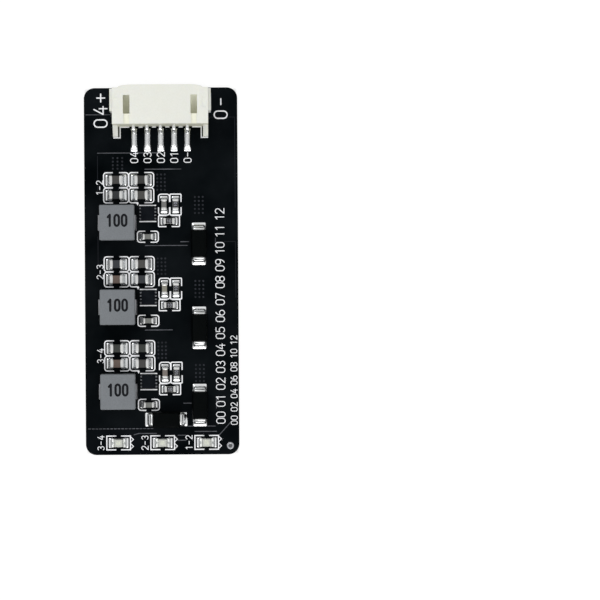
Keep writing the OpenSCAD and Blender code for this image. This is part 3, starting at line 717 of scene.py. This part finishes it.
# %% Inductors, chips and the leads of the diodes
to_soften = (("inductor_core_", "_block", powder, "inductor_powder", 0.06 * mm),
             ("inductor_terminals_", "_strip", aged_tin, "inductor_terminal", 0.04 * mm),
             ("balancer_chip_", "_package", chip_epoxy, "chip_epoxy", 0.02 * mm),
             ("diode_leads_", "_strip", strip_tin, "tinned_copper", 0.03 * mm))
for kind, ending, material, slot, width in to_soften:
    for node in of_kind(kind):
        softened(node + ending, node, material, slot, width)
    print("softened", len(of_kind(kind)), "of", kind + "...")

# %% [markdown]
# ## Solder on the pads
#
# Molten solder covers each pad in a low dome and climbs the metal end of the part in a curve
# that is steep at the part and flat at the pad's rim. That is one height over the pad: a dome
# that falls to nothing at the rim, plus a climb that depends only on the distance from the
# part's footprint. A wedge with a bevel would do from far away, but its flat slope mirrors the
# sky in one even tone, and the hollow curve gives the white line and dark edge of real solder.
# Which part stands on which pad is found by overlap in plan, and how high the solder climbs is
# read from the CAD joint there.

# %% A grid over a pad
fine_grid, coarse_grid = 21, 7  # points along each side of a pad


def rounded_patch(half, radius, count):
    """Points over a round-cornered rectangle, with w for each: 0 in the middle, 1 at the rim.

    Grid lines stand at 0.7 t + 0.3 sin(90 t), which crowds them at the rim. A corner square of
    the plain rectangle becomes a quarter disc: a point keeps its direction from the inner
    corner, and its distance becomes the larger of its two offsets.
    """
    t = np.linspace(-1, 1, count)
    lines = 0.7 * t + 0.3 * np.sin(t * math.pi / 2)
    u, v = np.meshgrid(lines, lines, indexing="ij")
    q = np.stack([u * half[0], v * half[1]], axis=-1)
    core = np.clip(q, radius - half, half - radius)
    out = q - core
    size = np.maximum(np.linalg.norm(out, axis=-1, keepdims=True), 1e-12)
    p = core + out / size * np.abs(out).max(axis=-1, keepdims=True)
    return p, np.maximum(np.abs(u), np.abs(v))


print("a pad's grid has", fine_grid ** 2, "points")

# %% The solder surface
def climb(points, low, high, reach, bank):
    """1 at the edge of a footprint, falling outside it, and falling fast inside it.

    d is the distance along an axis over that axis's reach. Towards the toe, where the pad has the
    most room, the height is (1 - d)^3, a hollow curve. At the sides it is (1 - d)^bank.
    """
    away = np.maximum(low - points, points - high)
    power = np.where(reach == reach.max(), 3, bank)
    outside = np.prod(np.clip(1 - np.maximum(away, 0) / reach, 0, 1) ** power, axis=-1)
    inside = np.minimum(away.max(axis=-1), 0)
    return outside * np.clip(1 + inside / (0.12 * mm), 0, 1)


def solder_pad(pad, part, rise, film=0.07 * mm, count=fine_grid, shade=0):
    """Height = (film + rise * climb) * sqrt(1 - w^8): a dome with a fillet up to the part.

    On a long narrow pad, as under a contact, the solder stands in a straight bank at the sides.
    """
    low, high = pad[0][:2], pad[1][:2]
    half = (high - low) / 2
    corner = min(0.16 * mm, 0.45 * half.min())
    flat, w = rounded_patch(half, corner, count)
    flat = flat + (low + high) / 2
    reach = np.maximum(np.maximum(part[0] - pad[0], pad[1] - part[1])[:2], 0.12 * mm)
    bank = 1 if half.max() > 2 * half.min() else 3
    lift = film + rise * climb(flat, part[0][:2], part[1][:2], reach, bank)
    z = board_top + lift * np.sqrt(np.maximum(1 - w ** 8, 0))
    points = np.concatenate([flat, z[..., None]], axis=-1).reshape(-1, 3)
    return points, grid_faces(count, count)[:, ::-1], shade


print("a soldered pad has", len(grid_faces(fine_grid, fine_grid)), "faces")

# %% Find the part and the joint of each pad
def most_over(box, others):
    """Which of the other boxes overlaps a box most in plan, or None."""
    low, high = np.array(others)[..., :2].swapaxes(0, 1)
    shared = np.minimum(high, box[1][:2]) - np.maximum(low, box[0][:2])
    area = np.prod(np.clip(shared, 0, None), axis=1)
    return others[int(area.argmax())] if area.max() > 0 else None


standing = [span(node) for kind in ("bulk_", "timing_", "bypass_", "sense_", "set_", "lamp_base_",
                                    "balancer_", "header_contact_") for node in of_kind(kind)]
standing += [box for kind in ("diode_leads_", "inductor_terminals_", "header_tabs")
             for node in of_kind(kind) for box in islands(node)]
joints = islands("solder_joints")
solder, ring = [], None
for pad in pads:
    runs_through = pad[1][2] - pad[0][2] > 0.5 * board_top
    if runs_through:
        ring = pad
        continue
    part, joint = most_over(pad, standing), most_over(pad, joints)
    if joint is None:
        solder.append(solder_pad(pad, part, 0.0, film=0.03 * mm, count=coarse_grid, shade=1))
    else:
        solder.append(solder_pad(pad, part, joint[1][2] - joint[0][2]))
piece_from("soldered_pads", solder, [solder_tin, dull_tin], "solder", "copper_pads", "solder_joints")
print(len(solder), "pads soldered")

# %% [markdown]
# The test hole is a plated tube with a ring. It is a profile turned round an axis: up the bore
# and over the ring in a low arch. The bore is the distance from the hole's axis to the nearest
# corner of the CAD pads.

# %% The plated test hole
def turned(profile, centre, count=32):
    """A profile of (radius, height) carried round a vertical axis."""
    angle = np.linspace(0, 2 * math.pi, count, endpoint=False)
    r, z = np.asarray(profile).T
    points = np.stack([centre[0] + r[:, None] * np.cos(angle), centre[1] + r[:, None] * np.sin(angle),
                       np.repeat(z[:, None], count, axis=1)], axis=-1)
    return points.reshape(-1, 3), grid_faces(len(r), count, ring=True)[:, ::-1]


ring_centre = (ring[0] + ring[1]) / 2
ring_radius = (ring[1][0] - ring[0][0]) / 2
ring_rise = 0.04 * mm
work = welded_copy("copper_pads")
corners = np.array([corner.co[:] for corner in work.verts])
work.free()
bore = np.linalg.norm(corners[:, :2] - ring_centre[:2], axis=1).min()
arch = np.linspace(math.pi, 0, 9)
over = np.column_stack([bore + (ring_radius - bore) * (1 + np.cos(arch)) / 2,
                        board_top + ring_rise * np.sin(arch)])
points, faces = turned(np.concatenate([[(bore, 0), (bore, board_top)], over]), ring_centre)
piece_from("test_hole_ring", [(points, faces, 0)], [aged_tin], "tinned_copper")
print("test hole bore", round(2 * bore / mm, 2), "mm, ring", round(2 * ring_radius / mm, 2), "mm")

# %% [markdown]
# ## Chip capacitors
#
# A chip capacitor is a fired ceramic block whose ends are dipped in metal paste. The block is a
# rounded block. The dipped end is a slightly larger one, and its inner rim bows towards the
# middle of each face, because the paste is pulled along by its own surface. A cube with a Bevel
# would give the same block but not the bow, so both come from the formula. The tints follow the
# batches on this board.

# %% Turning a part, and dipping its ends
def turned_to(points, low, high):
    """Moves points that lie along X to a box's centre, turned to its longer side."""
    if high[1] - low[1] > high[0] - low[0]:
        points = points[:, [1, 0, 2]] * [-1, 1, 1]
    return points + (low + high) / 2


def along_across(low, high):
    """Half sizes of a lying part: along its longer plan side, across it, and up."""
    half = (high - low) / 2
    return np.array([max(half[:2]), min(half[:2]), half[2]])


def dipped_ends(low, high, band, radius, bow, shade):
    """Two metal ends: their inner points move in by bow * (1 - (y / hy)^2 * (z / hz)^2)."""
    half = along_across(low, high)
    end = np.array([band / 2, half[1], half[2]])
    ends = []
    for side in (-1, 1):
        points, faces = rounded_block(end, radius)
        inner = np.clip(-side * points[:, 0] / end[0], 0, 1)
        share = 1 - (points[:, 1] / end[1]) ** 2 * (points[:, 2] / end[2]) ** 2
        points[:, 0] += side * (half[0] - band / 2 - bow * inner * share)
        ends.append((turned_to(points, low, high), faces, shade))
    return ends


print("a capacitor's half sizes", np.round(along_across(*span("bulk_capacitor_1a")) / mm, 2), "mm")

# %% Capacitors
def capacitor(node, tint, slot, band_share=0.24):
    """A ceramic block and its two dipped ends, in place of one CAD node."""
    low, high = span(node)
    half = along_across(low, high)
    band = 2 * half[0] * band_share
    metal = 0.035 * mm
    points, faces = rounded_block(half - [0.6 * band, metal, metal], 0.05 * mm)
    parts = [(turned_to(points, low, high), faces, 0)]
    parts += dipped_ends(low, high, band, 0.12 * mm, 0.05 * mm, 1)
    return piece_from(node + "_dipped", parts, [ceramic[tint], dipped_tin], slot, node)


batch = {"1a": "umber", "1b": "bark", "1c": "slate", "1d": "olive", "2a": "steel", "2b": "olive",
         "2c": "russet", "2d": "steel", "3a": "sage", "3b": "sage", "3c": "russet", "3d": "umber"}
for place, tint in batch.items():
    capacitor("bulk_capacitor_" + place, tint, "bulk_capacitor_ceramic")
small = of_kind("timing_capacitor_") + of_kind("bypass_capacitor_")
for node, tint in zip(small, ("ash", "sand", "rose", "stone", "stone", "stone")):
    capacitor(node, tint, "small_capacitor_ceramic", band_share=0.22)
print(len(batch), "bulk and", len(small), "small capacitors")

# %% [markdown]
# ## Numbers
#
# The few marks on the board are plain numbers. A text object would bring a font whose strokes
# swell and shrink, but a printed legend is drawn with one round pen. So a digit is made of
# straight and curved strokes in a box that is 1 high and about 0.6 wide, and an arc is a formula.

# %% Arcs, lines and loops
half_digit = 0.3


def arc(cx, cy, rx, ry, start, end):
    """Points of an ellipse's arc: centre plus radii times cosine and sine, angles in degrees."""
    a = np.radians(np.linspace(start, end, 4 + int(abs(end - start) / 20)))
    return np.stack([cx + rx * np.cos(a), cy + ry * np.sin(a)], axis=-1)


def line(*corners):
    """Straight strokes between corners, one for each pair."""
    return [np.linspace(a, b, 4) for a, b in zip(corners, corners[1:])]


def loop(low, high):
    """A digit-wide ring from height low to high: two half circles and two sides."""
    r = 0.28
    left, right, r_y = half_digit - r, half_digit + r, min(r, (high - low) / 2)
    return [arc(half_digit, high - r_y, r, r_y, 0, 180), arc(half_digit, low + r_y, r, r_y, 180, 360),
            *line((left, low + r_y), (left, high - r_y)), *line((right, high - r_y), (right, low + r_y))]


print("a quarter circle has", len(arc(0, 0, 1, 1, 0, 90)), "points")

# %% The digits and signs
digits = {
    "0": loop(0, 1),
    "1": line((0.12, 0.8), (0.36, 1), (0.36, 0)),
    "2": [arc(0.3, 0.72, 0.27, 0.28, 165, -25), *line((0.55, 0.6), (0.03, 0), (0.6, 0))],
    "3": [arc(0.28, 0.75, 0.25, 0.25, 150, -90), arc(0.28, 0.26, 0.28, 0.26, 90, -150)],
    "4": line((0.4, 1), (0.02, 0.3), (0.62, 0.3)) + line((0.46, 0.6), (0.46, 0)),
    "5": line((0.54, 1), (0.1, 1), (0.07, 0.55)) + [arc(0.28, 0.32, 0.29, 0.31, 130, -145)],
    "6": loop(0, 0.58) + [arc(0.42, 0.35, 0.4, 0.65, 100, 180)],
    "7": line((0.02, 1), (0.58, 1), (0.2, 0)),
    "8": loop(0.52, 1) + loop(0, 0.52),
    "9": loop(0.42, 1) + [arc(0.18, 0.65, 0.4, 0.65, -80, 0)],
    "-": line((0.05, 0.48), (0.5, 0.48)),
    "+": line((0, 0.48), (0.6, 0.48)) + line((0.3, 0.18), (0.3, 0.78)),
}
print("digits and signs drawn from", sum(len(strokes) for strokes in digits.values()), "strokes")

# %% Writing a number
def write(text, middle, height, pen, base, turn=0, step=0.82, rise=0.03 * mm, squeeze=1.0, shade=0):
    """Parts for a line of digits centred on middle, turned anticlockwise by turn degrees.

    step is the distance from digit to digit over the height, and squeeze narrows each digit.
    """
    c, s = math.cos(math.radians(turn)), math.sin(math.radians(turn))
    parts, start = [], -step * (len(text) - 1) / 2 - half_digit * squeeze
    for place, letter in enumerate(text):
        for path in digits[letter]:
            x = (path[:, 0] * squeeze + start + step * place) * height
            y = (path[:, 1] - 0.5) * height
            flat = np.stack([middle[0] + c * x - s * y, middle[1] + s * x + c * y], axis=-1)
            parts.append((*stroke(flat, pen, rise, base), shade))
    return parts


print("the number 10 takes", len(write("10", (0, 0), 1, 0.1, 0)), "strokes")

# %% [markdown]
# ## Chip resistors
#
# A chip resistor is a white ceramic slab with a dark glaze over its middle and metal wrapped
# round both ends. A second material on the slab's top would have no edge. So the glaze is a
# round-cornered loft of its own, and its edge stands just proud of the slab.

# %% Resistors
def resistor(node):
    """A slab, a glaze and two wrapped ends, in place of one CAD node."""
    low, high = span(node)
    half = along_across(low, high)
    band, corner = 0.4 * half[0], 0.05 * mm
    slab, slab_faces = rounded_block(half - [0.5 * band, 0.01 * mm, 0.03 * mm], 0.02 * mm)
    long, wide = half[0] - band, half[1] - 0.03 * mm
    glazed, glazed_faces = loft([
        (0, long, wide, corner), (half[2] - 0.01 * mm, long, wide, corner),
        (half[2] + 0.005 * mm, long - 0.03 * mm, wide - 0.03 * mm, corner)])
    parts = [(turned_to(slab, low, high), slab_faces, 0), (turned_to(glazed, low, high), glazed_faces, 1)]
    parts += dipped_ends(low, high, band, corner, 0.02 * mm, 2)
    upright = high[1] - low[1] > high[0] - low[0]
    parts += write("10", (low + high) / 2, 0.4 * mm, 0.07 * mm, high[2], turn=90 * upright, step=0.9,
                   rise=0.015 * mm, shade=3)
    return piece_from(node + "_chip", parts, [alumina, glaze, dipped_tin, pale_mark],
                      "resistor_glaze", node)


for node in of_kind("sense_resistor_") + of_kind("set_resistor_"):
    resistor(node)
print(len(of_kind("sense_")) + len(of_kind("set_")), "resistors")

# %% [markdown]
# ## Diodes
#
# The diode's body is moulded in two halves that both taper away from the lead, so its waist is
# the widest part. The loft goes from the foot out to the waist, up to the shoulder and over a
# rounded edge to a flat top. The lamp's lens ends in such an edge too, so it has its own function.

# %% Diode bodies
def rounded_top(half, draft, edge, spread, narrowing, corner):
    """Loft levels over an edge, for a from 0 to 90 degrees: z = top - edge * (1 - sin a).

    Each level is drawn in by draft + spread * (1 - cos a) along the part, and by that times
    narrowing across it.
    """
    turn = np.linspace(0, math.pi / 2, 5)
    inset = draft + spread * (1 - np.cos(turn))
    height = half[2] - edge * (1 - np.sin(turn))
    return [(z, half[0] - slip, half[1] - narrowing * slip, corner) for z, slip in zip(height, inset)]


def moulded_body(node, draft, edge):
    """A tapered body: the waist is full size, foot and top are smaller by the draft."""
    low, high = span(node)
    half = along_across(low, high)
    waist = -0.05 * half[2]
    levels = [(-half[2], half[0] - draft, half[1] - draft, 0.1 * mm), (waist, *half[:2], 0.12 * mm)]
    points, faces = loft(levels + rounded_top(half, draft, edge, 0.9 * edge, 1, 0.14 * mm))
    return piece_from(node + "_moulding", [(turned_to(points, low, high), faces, 0)], [diode_epoxy],
                      "diode_epoxy", node)


for node in of_kind("diode_body_"):
    moulded_body(node, 0.2 * mm, 0.1 * mm)
print(len(of_kind("diode_body_")), "diode bodies")

# %% [markdown]
# ## Lamps
#
# Each lamp is a white ceramic base with a half round cut into both ends, and a clear lens with
# sloping ends on top. The lens is a loft, and the phosphor is a small patch buried in it. A
# painted spot on top would look flat, while a buried one dims towards the rim by itself.

# %% Lamps
def lamp(base, lens):
    """Softened base, clear lens and the patch inside it."""
    low, high = span(lens)
    softened(base + "_block", base, lamp_ceramic, "lamp_base", 0.02 * mm)
    half = along_across(low, high)
    slope, edge = 0.12 * mm, 0.08 * mm
    foot = (-half[2], *half[:2], 0.03 * mm)
    points, faces = loft([foot] + rounded_top(half, slope, edge, edge, 0.6, 0.06 * mm))
    patch, patch_faces = rounded_block([0.42 * half[0], 0.5 * half[1], 0.3 * half[2]], 0.05 * mm)
    patch[:, 2] -= 0.6 * half[2]
    piece_from(lens + "_dome", [(points + (low + high) / 2, faces, 0),
                                (patch + (low + high) / 2, patch_faces, 1)],
               [lens_resin, phosphor], "lamp_lens", lens)


for base, lens in zip(of_kind("lamp_base_"), of_kind("lamp_lens_")):
    lamp(base, lens)
print(len(of_kind("lamp_lens_")), "lamps")

# %% [markdown]
# ## Marks
#
# Every number stands beside what it numbers, so its place is worked out from that piece's box.
# Text on the board is turned a quarter turn anticlockwise. The two rulers count in tenths of an
# inch and in millimetres from the end with the lamps.

# %% Numbers at the header and the groups
legend = []


def label(text, x, y, height, pen, step=0.82):
    """Adds digits that read up the board to the legend."""
    legend.extend(write(text, (x, y), height, pen, board_top, 90, step))


pin_text, corner_text, group_text = (1.1 * mm, 0.13 * mm), (1.95 * mm, 0.2 * mm), (0.95 * mm, 0.12 * mm)
pin_boxes = sorted((span(node) for node in of_kind("header_contact_")), key=lambda box: box[0][0])
pin_rear = min(low[1] for low, high in pin_boxes)
for text, (low, high) in zip(("04", "03", "02", "01", "0-"), pin_boxes):
    label(text, (low[0] + high[0]) / 2, pin_rear - 1.75 * mm, *pin_text)
label("04+", board_low[0] + 2.5 * mm, board_high[1] - 3.4 * mm, *corner_text, step=0.98)
label("0-", board_high[0] - 2.5 * mm, board_high[1] - 3.1 * mm, *corner_text, step=1.02)
for number in (1, 2, 3):
    low, high = span(f"bulk_capacitor_{number}a")
    lower_edge = span(f"bulk_capacitor_{number}c")[1][1]
    label(f"{number}-{number + 1}", (low[0] + high[0]) / 2 - 2.47 * mm, (low[1] + lower_edge) / 2,
          *group_text)
for number, node in zip((3, 2, 1), of_kind("lamp_base_")):
    low, high = span(node)
    label(f"{number}-{number + 1}", (low[0] + high[0]) / 2 - 2.65 * mm, (low[1] + high[1]) / 2,
          *group_text)
print(len(legend), "strokes of numbers so far")

# %% The two rulers
inch_tenth = 2.54 * mm
for count in range(13):
    label(f"{count:02d}", board_high[0] - 2.75 * mm, board_low[1] + 5.5 * mm + count * inch_tenth,
          height=1.3 * mm, pen=0.13 * mm, step=0.74)
for count in range(0, 14, 2):
    label(f"{count:02d}", board_high[0] - 0.75 * mm, board_low[1] + 5.1 * mm + count * mm,
          height=0.95 * mm, pen=0.11 * mm, step=0.78)
piece_from("printed_numbers", legend, [legend_ink], "legend_ink")
print(len(legend), "strokes of numbers")

# %% Marks on the inductors
for node in of_kind("inductor_core_"):
    low, high = span(node)
    middle = (low + high) / 2 + [0, 0.3 * mm, 0]
    mark = write("100", middle, 1.62 * mm, 0.34 * mm, high[2], step=0.68, rise=0.015 * mm, squeeze=0.72)
    piece_from(node + "_mark", mark, [mark_ink], "inductor_powder")
print("marked", len(of_kind("inductor_core_")), "inductors")

# %% [markdown]
# ## Tracks and covered holes
#
# Copper under the lacquer shows as faint raised lines, and a covered hole as a faint dimple
# ring. A bump pattern in the lacquer could show them too, but a low piece catches the light
# along its edge and keeps its own finish: a grey lighter than the lacquer, a painted sheen. The
# tracks run between the channels and down to the lamps. Their corners are listed in millimetres
# from the board's centre. The brighter runs take a brighter painted sheen than the dimmer runs.

# %% Tracks
track_width, track_rise = 0.12 * mm, 0.02 * mm


def track(corners, shade):
    """One straight piece of track for each pair of corners given in millimetres."""
    return [(*stroke(np.linspace(a, b, 4) * mm, track_width, track_rise, board_top), shade)
            for a, b in zip(corners, corners[1:])]


# The brighter runs take the brighter painted sheen, and the dimmer runs take the dimmer one.
brighter_runs = [
    [(-11.2, 23.5), (-7.4, 23.5)], [(-9.5, 17.75), (-0.35, 17.75)], [(-2.4, 15.3), (3.0, 15.3)],
    [(-2.4, 3.85), (3.9, 3.85)], [(2.9, 4.4), (4.1, 4.4)], [(8.1, 4.9), (8.1, 4.0)],
    [(-2.5, -8.8), (1.6, -8.8)], [(3.2, -19.8), (4.6, -19.8)], [(8.1, -19.2), (8.1, -20.6)],
    [(8.1, -19.8), (8.6, -19.8)], [(3.7, -23.25), (7.9, -23.25)], [(4.85, -24.05), (8.1, -24.05)],
    [(-4.3, -24.5), (-3.6, -24.3), (-0.9, -24.3)], [(2.3, -24.6), (3.5, -24.6)],
    [(2.3, -25.35), (3.5, -25.35)], [(8.5, -24.6), (10.1, -22.8)]]
brighter_runs += [[(start, -23.58), (start + 0.32, -23.58)] for start in np.arange(-11.1, -1.4, 0.55)]
dimmer_runs = [
    [(7.3, 23.05), (11.1, 23.05), (11.1, 9.5)], [(-9.5, 17.3), (-9.5, 12.0)],
    [(9.4, 4.4), (11.1, 4.4), (11.1, -4.0)], [(-9.5, 5.2), (-9.5, 0.5)]]
traces = []
for shade, runs in enumerate((brighter_runs, dimmer_runs)):
    for corners in runs:
        traces += track(corners, shade)
piece_from("covered_tracks", traces, [bright_sheen_track, dim_sheen_track], "laminate")
print(len(traces), "pieces of track")

# %% Covered holes
def covered_hole(x, y, rise=0.016 * mm):
    """A low ring with a dimple: height = rise * sin(pi r / R), just clear of the lacquer."""
    r = np.linspace(0.02, 0.15, 6) * mm
    lift = rise * np.sin(math.pi * r / r[-1]) + 0.001 * mm
    return *turned(np.column_stack([r, board_top + lift]), (x, y), 16), 0


def hole_field(left, right, top, bottom, rows):
    """Three columns of covered holes between sides given in millimetres."""
    return [covered_hole(x, y) for x in np.linspace(left, right, 3) * mm
            for y in np.linspace(top, bottom, rows) * mm]


channel_pitch = (span("inductor_core_1")[0][1] - span("inductor_core_2")[0][1]) / mm
covered = []
for drop in channel_pitch * np.arange(3):
    covered += hole_field(-0.56, 0.57, 14.5 - drop, 12.2 - drop, 5)
    covered += hole_field(5.06, 6.24, 11.1 - drop, 8.7 - drop, 5)
covered += hole_field(-7.2, -5.8, 17.0, 15.4, 4)
# The covered holes take the hole's painted sheen.
piece_from("covered_holes", covered, [hole_sheen_mask], "laminate")
print(len(covered), "covered holes, in channels", round(channel_pitch, 3), "mm apart")

# %% [markdown]
# ## Camera and light
#
# The board is seen from straight above through a long lens, so its upright sides all but
# vanish. A view without perspective would hide them altogether and look like a drawing. The
# board stands well to the left of the view. The sky is a wide soft box: bright overhead and
# dim near the horizon, so flat metal is white and every slope of solder is dark. Two large
# lamps, one beyond the lamp end and one at the upper left, give the edges their highlights.

# %% Camera
def camera_over(centre, distance, lens, roll, aside):
    """A camera that looks straight down, turned by roll degrees.

    The lens is shifted, so that the middle of the view is aside metres to the right of the
    point under the camera: the shift is aside over the width that the view has at the distance.
    """
    data = bpy.data.cameras.new("over_the_board")
    data.lens, data.sensor_width, data.clip_start = lens, 36, 0.01
    data.shift_x = aside / (distance * data.sensor_width / lens)
    camera = placed("over_the_board", data)
    camera.location = (centre[0], centre[1], board_top + distance)
    camera.rotation_euler = (0, 0, math.radians(roll))
    bpy.context.scene.camera = camera
    return camera


camera = camera_over(centre=(5.0 * mm, -4.35 * mm), distance=330 * mm, lens=132.1, roll=-0.37,
                     aside=15.72 * mm)
print("camera at", [round(v / mm, 1) for v in camera.location], "mm")

# %% Sky and lamps
world = bpy.data.worlds.new("even_sky")
bpy.context.scene.world = world
world.use_nodes = True
tree = world.node_tree
sky = tree.nodes["Background"]
sky.inputs["Color"].default_value = (1, 1, 1, 1)
upward = add(tree, "SeparateXYZ", {"Vector": add(tree, "TexCoord").outputs["Generated"]})
tree.links.new(ramp(tree, upward.outputs["Z"], 0.3, 0.7, 0.06, 0.82), sky.inputs["Strength"])


def soft_lamp(name, place, size, power, tint):
    """A square lamp that faces the board's centre."""
    data = bpy.data.lights.new(name, "AREA")
    data.shape, data.size, data.energy, data.color = "SQUARE", size, power, tint
    lamp_object = placed(name, data)
    lamp_object.location = place
    lamp_object.rotation_euler = lamp_object.location.to_track_quat("Z", "Y").to_euler()
    return lamp_object


soft_lamp("lamp_beyond", (0.05, -0.45, 0.5), 0.35, 1.5, (1.0, 0.99, 0.97))
soft_lamp("lamp_upper_left", (-0.4, 0.35, 0.55), 0.3, 1.2, (0.96, 0.98, 1.0))
print("sky and", len(bpy.data.lights), "lamps")

# %% [markdown]
# The floor is plain white paper. To the camera, and in metal and glass, it also gives out a
# little light of its own, so that it stays near white, while what it bounces onto the board is
# ordinary paper. Beneath the board it gives none, because there it lies in the board's shade.

# %% Floor
def paper_floor(size, height):
    """A wide white sheet at a height, brighter where it is seen or mirrored than as a light."""
    mesh = bpy.data.meshes.new("paper_floor")
    corner = size / 2
    mesh.from_pydata([(-corner, -corner, height), (corner, -corner, height), (corner, corner, height),
                      (-corner, corner, height)], [], [(0, 1, 2, 3)])
    floor = placed("paper_floor", mesh)
    paper = bpy.data.materials.new("white_paper")
    paper.use_nodes = True
    tree = paper.node_tree
    tree.nodes.remove(tree.nodes["Principled BSDF"])
    matt = add(tree, "BsdfDiffuse", {"Color": (0.93, 0.93, 0.93, 1)})
    glow = add(tree, "Emission", {"Color": (1, 1, 1, 1), "Strength": 1.1})
    ray = add(tree, "LightPath").outputs
    seen = ray["Is Camera Ray"]
    for kind in ("Is Glossy Ray", "Is Transmission Ray"):
        seen = maths(tree, "MAXIMUM", seen, ray[kind])
    place = add(tree, "SeparateXYZ", {"Vector": on_board(tree)}).outputs
    clear = [ramp(tree, maths(tree, "ABSOLUTE", place[axis]), edge - 0.5 * mm, edge)
             for axis, edge in zip("XY", board_high[:2])]
    open_floor = maths(tree, "MAXIMUM", *clear)
    share = maths(tree, "MULTIPLY", maths(tree, "MULTIPLY", seen, 0.8), open_floor)
    mix = add(tree, "MixShader", {0: share, 1: matt.outputs[0], 2: glow.outputs[0]})
    tree.links.new(mix.outputs[0], tree.nodes["Material Output"].inputs["Surface"])
    mesh.materials.append(paper)
    floor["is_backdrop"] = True
    return floor


paper_floor(40.0, cad_low[2] - 0.02 * mm)
bpy.context.scene.view_settings.view_transform = "Standard"
print("floor at", round(cad_low[2] / mm, 2), "mm")

# %% Sizes of the dressed board
low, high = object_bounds()
print("dressed box", [round((b - a) / mm, 2) for a, b in zip(low, high)], "mm")
